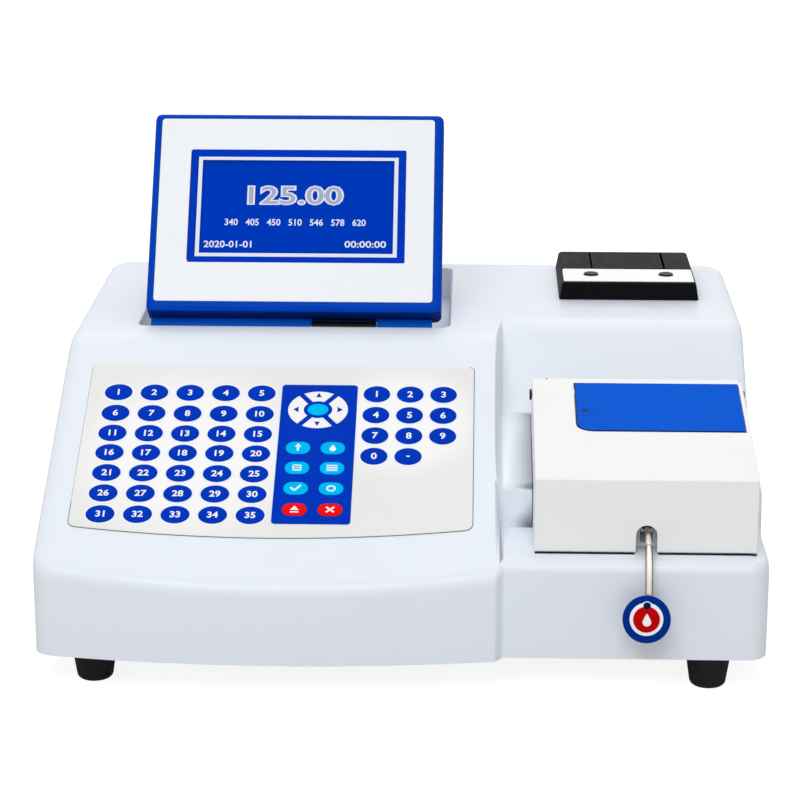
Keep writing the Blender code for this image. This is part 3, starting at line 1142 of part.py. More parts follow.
# Rear panel and what it carries
PANEL_Y1 = REAR_Y - REAR_RECESS - SEAT
PANEL_Y0 = PANEL_Y1 - PANEL_T
INLET_X = -0.118
INLET_W = 0.0275
INLET_H = 0.0200
SWITCH_X = -0.078
SWITCH_W = 0.0130
SWITCH_H = 0.0190
PORT_X = -0.015
PORT_W = 0.0190
PORT_H = 0.0100
FAN_X = 0.090
FAN_Z = 0.071
FAN_R = 0.0230
FAN_HALF = 0.0250
FAN_T = 0.0150
NOZZLE_X = 0.136
NOZZLE_R = 0.0040
ROW_Z = 0.068
panel = plate("rear_panel", [rounded(-REAR_X - REAR_LAP, REAR_X + REAR_LAP, REAR_Z0 - REAR_LAP, REAR_Z1
                                     + REAR_LAP, 0.003, 3)],
              PANEL_Y0, PANEL_Y1, BACK_M, PARTS, ZINC)
holes = [box("inlet_hole", (INLET_X - INLET_W / 2, PANEL_Y0 - 0.01, ROW_Z - INLET_H / 2),
             (INLET_X + INLET_W / 2, PANEL_Y1 + 0.01, ROW_Z + INLET_H / 2)),
         box("switch_hole", (SWITCH_X - SWITCH_W / 2, PANEL_Y0 - 0.01, ROW_Z - SWITCH_H / 2),
             (SWITCH_X + SWITCH_W / 2, PANEL_Y1 + 0.01, ROW_Z + SWITCH_H / 2)),
         box("port_hole", (PORT_X - PORT_W / 2, PANEL_Y0 - 0.01, ROW_Z - PORT_H / 2),
             (PORT_X + PORT_W / 2, PANEL_Y1 + 0.01, ROW_Z + PORT_H / 2)),
         rod("nozzle_hole", (NOZZLE_X, PANEL_Y0 - 0.01, ROW_Z), (NOZZLE_X, PANEL_Y1 + 0.01, ROW_Z),
             NOZZLE_R + SEAT, segs=20)]
cut(panel, *holes)
for k in range(7):
    gx = FAN_X - 0.0195 + 0.0065 * k
    reach = math.sqrt(FAN_R * FAN_R - (gx - FAN_X) ** 2)
    slot = box("grille_%d" % k, (gx - 0.0022, PANEL_Y0 - 0.01, FAN_Z - reach),
               (gx + 0.0022, PANEL_Y1 + 0.01, FAN_Z + reach))
    cut(panel, slot)

FLANGE_T = 0.0015
inlet = box("power_inlet", (INLET_X - INLET_W / 2 + RUN, PANEL_Y0 - 0.018, ROW_Z - INLET_H / 2 + RUN),
            (INLET_X + INLET_W / 2 - RUN, PANEL_Y1 + SEAT + FLANGE_T, ROW_Z + INLET_H / 2 - RUN), PARTS,
            BLACK)
inlet_lip = box("inlet_lip", (INLET_X - INLET_W / 2 - 0.0035, PANEL_Y1 + SEAT, ROW_Z - INLET_H / 2 - 0.0025),
                (INLET_X + INLET_W / 2 + 0.0035, PANEL_Y1 + SEAT + FLANGE_T, ROW_Z + INLET_H / 2 + 0.0025))
inlet_mouth = plate("inlet_mouth", [[(INLET_X - 0.0118, ROW_Z - 0.0080), (INLET_X + 0.0118, ROW_Z - 0.0080),
                                     (INLET_X + 0.0118, ROW_Z + 0.0030), (INLET_X + 0.0070, ROW_Z + 0.0080),
                                     (INLET_X - 0.0070, ROW_Z + 0.0080), (INLET_X - 0.0118, ROW_Z + 0.0030)]],
                    PANEL_Y1 - 0.0140, PANEL_Y1 + 0.01, BACK_M)
join(inlet, inlet_lip)
cut(inlet, inlet_mouth)
for k in range(3):
    px = INLET_X + (-0.0070, 0.0, 0.0070)[k]
    pz = ROW_Z + (-0.0020, 0.0020, -0.0020)[k]
    prong = box("inlet_prong_%d" % k, (px - 0.0010, PANEL_Y1 - 0.0150, pz - 0.0020),
                (px + 0.0010, PANEL_Y1 - 0.0020, pz + 0.0020))
    join(inlet, prong)

switch_frame = box("switch_frame", (SWITCH_X - SWITCH_W / 2 + RUN, PANEL_Y0 - 0.014, ROW_Z - SWITCH_H / 2
                                    + RUN),
                   (SWITCH_X + SWITCH_W / 2 - RUN, PANEL_Y1 + SEAT + FLANGE_T, ROW_Z
                    + SWITCH_H / 2 - RUN), PARTS, BLACK)
switch_lip = box("switch_lip", (SWITCH_X - SWITCH_W / 2 - 0.0015, PANEL_Y1 + SEAT,
                                ROW_Z - SWITCH_H / 2 - 0.0015),
                 (SWITCH_X + SWITCH_W / 2 + 0.0015, PANEL_Y1 + SEAT + FLANGE_T, ROW_Z + SWITCH_H / 2
                  + 0.0015))
SWITCH_AXIS_Y = PANEL_Y1 - 0.0042
ROCK_HALF = 0.0078
switch_room = box("switch_room", (SWITCH_X - 0.0048, PANEL_Y0 - 0.0105, ROW_Z - ROCK_HALF - 0.0007),
                  (SWITCH_X + 0.0048, PANEL_Y1 + 0.01, ROW_Z + ROCK_HALF + 0.0007))
join(switch_frame, switch_lip)
cut(switch_frame, switch_room)
axle_hole = rod("switch_axle_hole", (SWITCH_X - 0.0057, SWITCH_AXIS_Y, ROW_Z),
                (SWITCH_X + 0.0057, SWITCH_AXIS_Y, ROW_Z), 0.0013, segs=12)
cut(switch_frame, axle_hole)
ROCK_TILT = math.radians(9)
ROCK_REST = math.radians(ROCK_REST_DEG)
rock_pts = [(SWITCH_AXIS_Y - 0.0048, ROW_Z - 0.0035), (SWITCH_AXIS_Y - 0.0048, ROW_Z + 0.0035)]
for s in (1, -1):
    zz = s * (ROCK_HALF - 0.0004)
    yy = 0.0046 + abs(zz) * math.tan(ROCK_TILT) * 0.55
    rock_pts.append((SWITCH_AXIS_Y + yy, ROW_Z + zz))
    if s == 1:
        rock_pts.append((SWITCH_AXIS_Y + 0.0046, ROW_Z))
rock_at = Vector((SWITCH_X, SWITCH_AXIS_Y, ROW_Z))
rock_turn = Matrix.Translation(rock_at) @ Matrix.Rotation(-ROCK_REST, 4, "X") @ Matrix.Translation(-rock_at)
rocker = plate("power_rocker", [rock_pts], SWITCH_X - 0.0044, SWITCH_X + 0.0044, rock_turn @ SIDE_M,
               PARTS, BLACK)
rock_axle = rod("rock_axle", (SWITCH_X - 0.0054, SWITCH_AXIS_Y, ROW_Z),
                (SWITCH_X + 0.0054, SWITCH_AXIS_Y, ROW_Z), 0.0010, segs=12)
join(rocker, rock_axle)

port = plate("serial_port", [[(PORT_X - 0.0085, ROW_Z + 0.0040), (PORT_X - 0.0068, ROW_Z - 0.0040),
                              (PORT_X + 0.0068, ROW_Z - 0.0040), (PORT_X + 0.0085, ROW_Z + 0.0040)]],
             PANEL_Y0 - 0.006, PANEL_Y1 + 0.0055, BACK_M, PARTS, STEEL)
port_plate = box("port_plate", (PORT_X - 0.0155, PANEL_Y0 - SEAT - 0.001, ROW_Z - 0.0062),
                 (PORT_X + 0.0155, PANEL_Y0 - SEAT, ROW_Z + 0.0062))
port_hollow = plate("port_hollow", [[(PORT_X - 0.0078, ROW_Z + 0.0034), (PORT_X - 0.0062, ROW_Z - 0.0034),
                                     (PORT_X + 0.0062, ROW_Z - 0.0034), (PORT_X + 0.0078, ROW_Z + 0.0034)]],
                    PANEL_Y1 - 0.0030, PANEL_Y1 + 0.01, BACK_M)
join(port, port_plate)
cut(port, port_hollow)

nozzle = rod("waste_outlet", (NOZZLE_X, PANEL_Y0 - 0.010, ROW_Z), (NOZZLE_X, PANEL_Y1 + 0.0100, ROW_Z),
             NOZZLE_R, PARTS, BLACK, 20)
nozzle_flange = rod("nozzle_flange", (NOZZLE_X, PANEL_Y1 + SEAT, ROW_Z),
                    (NOZZLE_X, PANEL_Y1 + SEAT + 0.002, ROW_Z), 0.0065, segs=6)
nozzle_bore = rod("nozzle_bore", (NOZZLE_X, PANEL_Y0 - 0.02, ROW_Z), (NOZZLE_X, PANEL_Y1 + 0.02, ROW_Z),
                  0.0022, segs=16)
join(nozzle, nozzle_flange)
cut(nozzle, nozzle_bore)

FAN_Y1 = PANEL_Y0 - SEAT
FAN_Y0 = FAN_Y1 - FAN_T
fan = box("fan_frame", (FAN_X - FAN_HALF, FAN_Y0, FAN_Z - FAN_HALF),
          (FAN_X + FAN_HALF, FAN_Y1, FAN_Z + FAN_HALF), PARTS, BLACK)
fan_hole = rod("fan_hole", (FAN_X, FAN_Y0 + 0.0020, FAN_Z), (FAN_X, FAN_Y1 + 0.01, FAN_Z), FAN_R + 0.0005,
               segs=24)
fan_back = rod("fan_back", (FAN_X, FAN_Y0 - 0.01, FAN_Z), (FAN_X, FAN_Y0 + 0.003, FAN_Z), FAN_R + 0.0005,
               segs=24)
cut(fan, fan_hole, fan_back)
fan_arm = box("fan_arm", (FAN_X - FAN_HALF + 0.001, FAN_Y0, FAN_Z - 0.002),
              (FAN_X + FAN_HALF - 0.001, FAN_Y0 + 0.0018, FAN_Z + 0.002))
fan_hubplate = rod("fan_hubplate", (FAN_X, FAN_Y0, FAN_Z), (FAN_X, FAN_Y0 + 0.0018, FAN_Z), 0.0085, segs=20)
fan_spindle = rod("fan_spindle", (FAN_X, FAN_Y0 + 0.001, FAN_Z), (FAN_X, FAN_Y0 + 0.009, FAN_Z), 0.0012,
                  segs=12)
join(fan, fan_arm, fan_hubplate, fan_spindle)
ROTOR_Y0 = FAN_Y0 + 0.0018 + 0.0005
ROTOR_Y1 = FAN_Y1 - 0.0012
rotor = rod("fan_rotor", (FAN_X, ROTOR_Y0, FAN_Z), (FAN_X, ROTOR_Y1, FAN_Z), 0.0090, PARTS, BLACK, 16)
rotor_bore = rod("rotor_bore", (FAN_X, ROTOR_Y0 - 0.01, FAN_Z), (FAN_X, FAN_Y0 + 0.0096, FAN_Z), 0.0012
                 + SEAT, segs=12)
for k in range(7):
    a = 2 * math.pi * k / 7
    blade_m = (Matrix.Translation((FAN_X, (ROTOR_Y0 + ROTOR_Y1) / 2, FAN_Z)) @ Matrix.Rotation(a, 4, "Y")
               @ Matrix.Translation((0.0, 0.0, 0.0150)) @ Matrix.Rotation(math.radians(38), 4, "Z"))
    blade = box("blade_%d" % k, (-0.0060, -0.0006, -0.0075), (0.0060, 0.0006, 0.0070), frame=blade_m)
    join(rotor, blade)
cut(rotor, rotor_bore)

# Inside: boards, supply, optics, pump
SPACER = 0.008
BOARD_Z = PAN_TOP + SEAT + SPACER
BOARD_IN = 0.02825
BOARD_W = 0.165
BOARD_X = -BODY_W / 2 + BOARD_IN
board = box("main_board", (BOARD_X, -0.120, BOARD_Z), (BOARD_X + BOARD_W, 0.040, BOARD_Z + 0.0016),
            PARTS, BOARD_GREEN)
for k, (bx, by) in enumerate(((0.007, -0.113), (0.158, -0.113), (0.007, 0.033), (0.158, 0.033))):
    post = rod("board_post_%d" % k, (BOARD_X + bx, by, PAN_TOP + SEAT), (BOARD_X + bx, by, BOARD_Z + 0.0005),
               0.003, segs=12)
    join(board, post)
for k, (lo, hi) in enumerate((((0.065, -0.060), (0.093, -0.032)), ((0.025, 0.000), (0.055, 0.020)),
                              ((0.115, -0.020), (0.135, 0.010)))):
    chip = box("chip_%d" % k, (BOARD_X + lo[0], lo[1], BOARD_Z + 0.001),
               (BOARD_X + hi[0], hi[1], BOARD_Z + 0.0045))
    join(board, chip)

SUPPLY_IN = 0.02125
SUPPLY_W = 0.082
SUPPLY_X = -BODY_W / 2 + SUPPLY_IN
supply = box("power_supply", (SUPPLY_X, 0.070, PAN_TOP + SEAT), (SUPPLY_X + SUPPLY_W, 0.155, 0.066),
             PARTS, ZINC, 0.001, 1)
for k in range(6):
    slot_x = SUPPLY_X + 0.008 + 0.0125 * k
    slot = box("supply_slot_%d" % k, (slot_x, 0.080, 0.062), (slot_x + 0.006, 0.145, 0.08))
    cut(supply, slot)
supply_room = box("supply_room", (SUPPLY_X + 0.0015, 0.0715, PAN_TOP + SEAT + 0.0015),
                  (SUPPLY_X + SUPPLY_W - 0.0015, 0.1535, 0.0645))
cut(supply, supply_room)

BEAM_Z = 0.0580
BEAM_Y = WELL_Y
rail = box("optics_rail", (0.022, BEAM_Y - 0.020, PAN_TOP + SEAT),
           (0.200, BEAM_Y + 0.020, PAN_TOP + SEAT + 0.005), PARTS, ALLOY)
RAIL_TOP = PAN_TOP + SEAT + 0.005
lamp = box("lamp_house", (0.026, BEAM_Y - 0.018, RAIL_TOP + SEAT),
           (0.060, BEAM_Y + 0.018, BEAM_Z + 0.016), PARTS, ALLOY, 0.001, 1)
for k in range(5):
    fin = box("lamp_fin_%d" % k, (0.0285 + 0.0065 * k, BEAM_Y - 0.03, BEAM_Z + 0.006),
              (0.0315 + 0.0065 * k, BEAM_Y + 0.03, BEAM_Z + 0.03))
    cut(lamp, fin)
tube = rod("lens_tube", (0.060 + SEAT, BEAM_Y, BEAM_Z), (0.1180, BEAM_Y, BEAM_Z), 0.009, PARTS, ALLOY, 20)
tube_bore = rod("tube_bore", (0.0700, BEAM_Y, BEAM_Z), (0.13, BEAM_Y, BEAM_Z), 0.0065, segs=16)
tube_foot = box("tube_foot", (0.082, BEAM_Y - 0.006, RAIL_TOP + SEAT),
                (0.096, BEAM_Y + 0.006, BEAM_Z - 0.0072))
join(tube, tube_foot)
cut(tube, tube_bore)
flow = box("flow_block", (0.1180 + SEAT, BEAM_Y - 0.015, RAIL_TOP + SEAT),
           (0.160, BEAM_Y + 0.015, CHAMBER_FLOOR_Z - CHAMBER_WALL - SEAT), PARTS, ALLOY, 0.001, 1)
flow_bore = rod("flow_bore", (0.10, BEAM_Y, BEAM_Z), (0.18, BEAM_Y, BEAM_Z), 0.0040, segs=16)
cut(flow, flow_bore)
WHEEL_PITCH = 0.0120
WHEEL_Z = BEAM_Z - WHEEL_PITCH
WHEEL_R = 0.0165
WHEEL_X = 0.1790
WHEEL_T = 0.0040
SHAFT_R = 0.0015
motor = rod("filter_motor", (0.1605, BEAM_Y, WHEEL_Z), (0.1765, BEAM_Y, WHEEL_Z), 0.0075, PARTS, STEEL, 20)
motor_shaft = rod("filter_shaft", (0.1700, BEAM_Y, WHEEL_Z), (WHEEL_X + 0.0030, BEAM_Y, WHEEL_Z), SHAFT_R,
                  segs=12)
motor_foot = box("filter_foot", (0.1640, BEAM_Y - 0.006, RAIL_TOP + SEAT),
                 (0.1730, BEAM_Y + 0.006, WHEEL_Z - 0.0050))
join(motor, motor_shaft, motor_foot)
wheel = rod("filter_wheel", (WHEEL_X, BEAM_Y, WHEEL_Z), (WHEEL_X + WHEEL_T, BEAM_Y, WHEEL_Z), WHEEL_R,
            PARTS, ALLOY, 28)
wheel_bore = rod("wheel_bore", (WHEEL_X - 0.01, BEAM_Y, WHEEL_Z), (WHEEL_X + 0.0034, BEAM_Y, WHEEL_Z),
                 SHAFT_R + SEAT, segs=12)
cut(wheel, wheel_bore)
for k in range(8):
    a = 2 * math.pi * k / 8
    wy = BEAM_Y + WHEEL_PITCH * math.sin(a)
    wz = WHEEL_Z + WHEEL_PITCH * math.cos(a)
    window = rod("wheel_window_%d" % k, (WHEEL_X - 0.01, wy, wz), (WHEEL_X + 0.02, wy, wz), 0.0030, segs=8)
    cut(wheel, window)
detector = box("detector", (0.1880, BEAM_Y - 0.009, RAIL_TOP + SEAT),
               (0.1960, BEAM_Y + 0.009, BEAM_Z + 0.009), PARTS, BLACK, 0.0008, 1)

# Peristaltic pump
PUMP_X = 0.0450
PUMP_Z = 0.0560
PUMP_Y = -0.0100
PUMP_R = 0.0150
pump_motor = rod("pump_motor", (PUMP_X, PUMP_Y + 0.0100, PUMP_Z), (PUMP_X, PUMP_Y + 0.0480, PUMP_Z),
                 0.0125, PARTS, STEEL, 20)
pump_shaft = rod("pump_shaft", (PUMP_X, PUMP_Y - 0.0080, PUMP_Z), (PUMP_X, PUMP_Y + 0.0120, PUMP_Z),
                 0.0020, segs=12)
pump_foot = box("pump_foot", (PUMP_X - 0.010, PUMP_Y + 0.0150, PAN_TOP + SEAT),
                (PUMP_X + 0.010, PUMP_Y + 0.0400, PUMP_Z - 0.006))
join(pump_motor, pump_shaft, pump_foot)
pump_head = box("pump_head", (PUMP_X - 0.0210, PUMP_Y - 0.0120, PAN_TOP + SEAT),
                (PUMP_X + 0.0210, PUMP_Y + 0.0097, PUMP_Z + 0.0210),
                PARTS, BLACK, 0.001, 1)
head_room = rod("head_room", (PUMP_X, PUMP_Y - 0.03, PUMP_Z), (PUMP_X, PUMP_Y + 0.0070, PUMP_Z), PUMP_R
                + 0.0022, segs=24)
head_bore = rod("head_bore", (PUMP_X, PUMP_Y, PUMP_Z), (PUMP_X, PUMP_Y + 0.02, PUMP_Z), 0.0020 + SEAT,
                segs=12)
cut(pump_head, head_room, head_bore)
pump_rotor = rod("pump_rotor", (PUMP_X, PUMP_Y - 0.0100, PUMP_Z), (PUMP_X, PUMP_Y + 0.0060, PUMP_Z),
                 0.0065, PARTS, COVER_WHITE, 16)
for k in range(3):
    a = 2 * math.pi * k / 3 + 0.3
    rx = PUMP_X + 0.0105 * math.cos(a)
    rz = PUMP_Z + 0.0105 * math.sin(a)
    roller = rod("pump_roller_%d" % k, (rx, PUMP_Y - 0.0090, rz), (rx, PUMP_Y + 0.0050, rz), 0.0045, segs=12)
    join(pump_rotor, roller)
rotor_hole = rod("rotor_hole", (PUMP_X, PUMP_Y - 0.0084, PUMP_Z), (PUMP_X, PUMP_Y + 0.02, PUMP_Z), 0.0020
                 + SEAT, segs=12)
cut(pump_rotor, rotor_hole)

# Origins of the moving pieces on their joints' axes
HINGE_AT = {
    "display_shell": (0.0, AXIS_Y, AXIS_Z), "display_face": (0.0, AXIS_Y, AXIS_Z),
    "lcd_window": (0.0, AXIS_Y, AXIS_Z), "display_board": (0.0, AXIS_Y, AXIS_Z),
    "sample_cover": (0.0, HINGE_Y, HINGE_Z), "cover_door": tuple(door_axis[0]),
    "aspirate_rod": (LEVER_X, LEVER_PIVOT_Y, LEVER_PIVOT_Z),
    "aspirate_disc": (LEVER_X, LEVER_PIVOT_Y, LEVER_PIVOT_Z),
    "aspirate_label": (LEVER_X, LEVER_PIVOT_Y, LEVER_PIVOT_Z),
    "printer_lid": (ROLL_MID, LID_AXIS_Y, LID_AXIS_Z), "paper_roll": (ROLL_MID, ROLL_Y, ROLL_Z),
    "platen_roller": (ROLL_MID, PLATEN_Y, PLATEN_Z), "power_rocker": tuple(rock_at),
    "printer_button_left": (PRN_BTN_X0, PRN_BTN_Y, PRN_TOP_Z),
    "printer_button_right": (PRN_BTN_X1, PRN_BTN_Y, PRN_TOP_Z),
    "fan_rotor": (FAN_X, ROTOR_Y0, FAN_Z), "filter_wheel": (WHEEL_X, BEAM_Y, WHEEL_Z),
    "pump_rotor": (PUMP_X, PUMP_Y, PUMP_Z),
}
for name, spot in HINGE_AT.items():
    pivot(bpy.data.objects[name], spot)
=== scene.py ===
# %% [markdown]
# # A bench chemistry analyser
# The frame holds every solid of the analyser in its true place, in metres, with the front
# facing -Y. This notebook dresses it: it gives each piece its finish, rounds the moulded
# edges, prints the keypad and the screen, and sets up the studio.

# %% Load the frame
import json
import math

import bpy
from mathutils import Matrix, Vector


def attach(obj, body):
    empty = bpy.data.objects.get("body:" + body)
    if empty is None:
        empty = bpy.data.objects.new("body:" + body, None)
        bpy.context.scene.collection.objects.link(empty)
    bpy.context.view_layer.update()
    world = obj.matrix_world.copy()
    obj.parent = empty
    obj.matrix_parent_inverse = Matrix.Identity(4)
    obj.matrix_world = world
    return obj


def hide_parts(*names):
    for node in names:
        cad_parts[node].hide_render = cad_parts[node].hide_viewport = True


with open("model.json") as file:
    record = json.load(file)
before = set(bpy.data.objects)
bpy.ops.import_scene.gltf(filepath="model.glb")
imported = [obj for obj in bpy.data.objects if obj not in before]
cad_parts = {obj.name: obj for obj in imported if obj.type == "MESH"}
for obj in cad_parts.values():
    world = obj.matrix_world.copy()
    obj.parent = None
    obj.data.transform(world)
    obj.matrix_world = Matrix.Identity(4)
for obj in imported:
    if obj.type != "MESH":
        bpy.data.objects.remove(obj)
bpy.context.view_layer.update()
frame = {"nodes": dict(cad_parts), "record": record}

# %% [markdown]
# Operators act on whatever is selected, so every step begins with a clean selection.
# `take` leaves one piece selected and active. `settle` moves a piece's place into its mesh,
# so that the object itself stays at the origin, and then hangs it on its moving body.

# %% Small helpers
def clear():
    bpy.ops.object.select_all(action="DESELECT")


def take(piece):
    clear()
    piece.select_set(True)
    bpy.context.view_layer.objects.active = piece


def apply_all(piece):
    take(piece)
    for modifier in list(piece.modifiers):
        bpy.ops.object.modifier_apply(modifier=modifier.name)


def settle(piece, name, body, finish, place=None, smooth=30):
    piece.name = name
    piece.data.name = name
    if place is not None:
        piece.matrix_world = place @ piece.matrix_world
        bpy.context.view_layer.update()
    take(piece)
    bpy.ops.object.transform_apply(location=True, rotation=True, scale=True)
    if smooth:
        bpy.ops.object.shade_smooth_by_angle(angle=math.radians(smooth))
    piece.data.materials.clear()
    piece.data.materials.append(finish)
    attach(piece, body)
    return piece


def leaning(origin, degrees):
    """Plane whose own X runs to the right, Y up the slope and Z out of it."""
    return Matrix.Translation(origin) @ Matrix.Rotation(math.radians(degrees), 4, "X")


BODY_OF = {}
for body, members in frame["record"]["behaviour"]["bodies"].items():
    for node in members:
        BODY_OF[node] = body

# %% [markdown]
# ## Finishes
# A moulded plastic is never one flat colour: it has a soft cloudiness, a roughness that
# wanders a little, and a fine grain from the tool. One recipe makes them all, from three
# Noise textures read in Object coordinates: a wide one for the colour, a middle one for the
# roughness and a fine one for the bump. Wide, middle and fine are given in waves a metre.
# Dark and metal pieces also get rubbed edges: a Bevel shader node bends the normal beside an
# edge, and where it differs from the true normal the colour turns paler. A drawn steel rod
# gets a painted reflection of a dark room along its flanks, where Layer Weight's Facing
# turns its colour brown and its metal off.

# %% The moulded finish
RUBBED = (168, 168, 168)
EDGE_REACH = 0.0007
ROUGH_SPREAD = 0.05


def colour_of(red, green, blue):
    """A colour as a screen shows it, 0 to 255, turned into a shader's linear light."""
    out = []
    for c in (red, green, blue):
        c = c / 255
        out.append(c / 12.92 if c <= 0.04045 else ((c + 0.055) / 1.055) ** 2.4)
    return out + [1.0]


def nodes_of(material):
    material.use_nodes = True
    return material.node_tree.nodes, material.node_tree.links


def noise(nodes, links, coords, scale, detail=2.0, stretch=None):
    tex = nodes.new("ShaderNodeTexNoise")
    tex.inputs["Scale"].default_value = scale
    tex.inputs["Detail"].default_value = detail
    if stretch is None:
        links.new(coords, tex.inputs["Vector"])
    else:
        mapping = nodes.new("ShaderNodeMapping")
        mapping.inputs["Scale"].default_value = stretch
        links.new(coords, mapping.inputs["Vector"])
        links.new(mapping.outputs["Vector"], tex.inputs["Vector"])
    return tex.outputs["Fac"]


def between(nodes, links, fac, low, high):
    """A Map Range that turns a noise into a number from low to high."""
    step = nodes.new("ShaderNodeMapRange")
    step.inputs["From Min"].default_value = 0.3
    step.inputs["From Max"].default_value = 0.7
    step.inputs["To Min"].default_value = low
    step.inputs["To Max"].default_value = high
    links.new(fac, step.inputs["Value"])
    return step.outputs["Result"]


def ramp(nodes, links, fac, stops):
    r = nodes.new("ShaderNodeValToRGB")
    while len(r.color_ramp.elements) < len(stops):
        r.color_ramp.elements.new(0.5)
    for element, (spot, colour) in zip(r.color_ramp.elements, stops):
        element.position = spot
        element.color = colour
    links.new(fac, r.inputs["Fac"])
    return r.outputs["Color"]


def shade(colour, factor):
    return [min(1.0, c * factor) for c in colour[:3]] + [1.0]


def mixed(nodes, links, fac, one, other):
    """The link one, turned into the plain colour other as fac rises."""
    mix = nodes.new("ShaderNodeMix")
    mix.data_type = "RGBA"
    links.new(fac, mix.inputs["Factor"])
    links.new(one, mix.inputs["A"])
    mix.inputs["B"].default_value = other
    return mix.outputs["Result"]


def worn_edge(nodes, links, coords, rub):
    """High along edges, where a Bevel node bends the surface, and broken up by a noise."""
    bent = nodes.new("ShaderNodeBevel")
    bent.samples = 4
    bent.inputs["Radius"].default_value = EDGE_REACH
    flat = nodes.new("ShaderNodeNewGeometry")
    same = nodes.new("ShaderNodeVectorMath")
    same.operation = "DOT_PRODUCT"
    links.new(bent.outputs["Normal"], same.inputs[0])
    links.new(flat.outputs["Normal"], same.inputs[1])
    edge = nodes.new("ShaderNodeMapRange")
    edge.inputs["From Min"].default_value = 0.985
    edge.inputs["From Max"].default_value = 0.90
    edge.inputs["To Max"].default_value = rub
    links.new(same.outputs["Value"], edge.inputs["Value"])
    patchy = nodes.new("ShaderNodeMath")
    patchy.operation = "MULTIPLY"
    links.new(edge.outputs["Result"], patchy.inputs[0])
    links.new(between(nodes, links, noise(nodes, links, coords, 120), 0.2, 1.0), patchy.inputs[1])
    return patchy.outputs[0]


def moulded(name, rgb, rough, cloud=14, cloud_depth=0.03, grain=1400, grain_depth=0.00002,
            metallic=0.0, specular=0.5, stretch=None, rub=0.0, rim=None):
    """The one recipe. rub is how far edges turn paler; rim is the colour of a painted reflection
    on a rod's flanks.
    """
    material = bpy.data.materials.new(name)
    nodes, links = nodes_of(material)
    shader = nodes["Principled BSDF"]
    coords = nodes.new("ShaderNodeTexCoord").outputs["Object"]
    base = colour_of(*rgb)
    wide = noise(nodes, links, coords, cloud, 3.0, stretch)
    paint = ramp(nodes, links, wide,
                 [(0.3, shade(base, 1 - cloud_depth)), (0.7, shade(base, 1 + cloud_depth))])
    if rub:
        edge = worn_edge(nodes, links, coords, rub)
        paint = mixed(nodes, links, edge, paint, colour_of(*RUBBED))
    # Painted reflection: a rod's flanks take the rim colour and lose their metal, as if they
    # mirrored a dark room.
    if rim:
        facing = nodes.new("ShaderNodeLayerWeight")
        facing.inputs["Blend"].default_value = 0.5
        flank = nodes.new("ShaderNodeMapRange")
        flank.inputs["From Min"].default_value = 0.18
        flank.inputs["From Max"].default_value = 0.50
        links.new(facing.outputs["Facing"], flank.inputs["Value"])
        paint = mixed(nodes, links, flank.outputs["Result"], paint, colour_of(*rim))
        inside = nodes.new("ShaderNodeMath")
        inside.operation = "SUBTRACT"
        inside.inputs[0].default_value = metallic
        links.new(flank.outputs["Result"], inside.inputs[1])
        links.new(inside.outputs[0], shader.inputs["Metallic"])
    links.new(paint, shader.inputs["Base Color"])
    middle = noise(nodes, links, coords, cloud * 9, 2.0, stretch)
    links.new(between(nodes, links, middle, rough - ROUGH_SPREAD, rough + ROUGH_SPREAD),
              shader.inputs["Roughness"])
    fine = noise(nodes, links, coords, grain, 2.0, stretch)
    bump = nodes.new("ShaderNodeBump")
    bump.inputs["Strength"].default_value = 0.5
    bump.inputs["Distance"].default_value = grain_depth
    links.new(fine, bump.inputs["Height"])
    links.new(bump.outputs["Normal"], shader.inputs["Normal"])
    shader.inputs["Metallic"].default_value = metallic
    shader.inputs["Specular IOR Level"].default_value = specular
    return material


# The housing and cover are textured ABS; the film, keys and screen are printed polyester.
housing_paint = moulded("housing_paint", (234, 240, 248), 0.40, cloud=7, cloud_depth=0.010,
                        grain=1500, grain_depth=0.00003, specular=0.45)
cover_plastic = moulded("cover_plastic", (245, 245, 244), 0.46, cloud=9, cloud_depth=0.010,
                        grain=1800, grain_depth=0.00003, specular=0.3)
keypad_film = moulded("keypad_film", (235, 235, 234), 0.40, cloud=5, cloud_depth=0.010, grain=2600,
                      specular=0.3)
# Painted highlight: paler than the film, for the light caught by the pressed rim round each key.
painted_highlight_halo = moulded("painted_highlight_halo", (247, 248, 249), 0.45, cloud=30, cloud_depth=0.008, grain=2600,
                    grain_depth=0.00001, specular=0.2)
# Painted shade: the grey of the film's edge where it turns away from the light.
painted_edge_shade_grey = moulded("painted_edge_shade_grey", (120, 122, 124), 0.5, cloud=60, cloud_depth=0.10,
                         grain=2600, grain_depth=0.00001, specular=0.2)
key_blue = moulded("key_blue", (0, 56, 190), 0.45, cloud=60, cloud_depth=0.05, grain=2600,
                   specular=0.01)
key_cyan = moulded("key_cyan", (0, 192, 250), 0.42, cloud=60, cloud_depth=0.04, grain=2600,
                   specular=0.0)
key_red = moulded("key_red", (246, 4, 12), 0.42, cloud=60, cloud_depth=0.04, grain=2600,
                  specular=0.04)
label_red = moulded("label_red", (196, 0, 10), 0.42, cloud=60, cloud_depth=0.04, grain=2600,
                    specular=0.04)
key_print = moulded("key_print_white", (248, 249, 250), 0.45, cloud=80, cloud_depth=0.01,
                    grain=2600, grain_depth=0.00001, specular=0.2)
display_blue = moulded("display_blue", (0, 68, 190), 0.40, cloud=16, cloud_depth=0.05, grain=1500,
                       grain_depth=0.00003, specular=0.02)
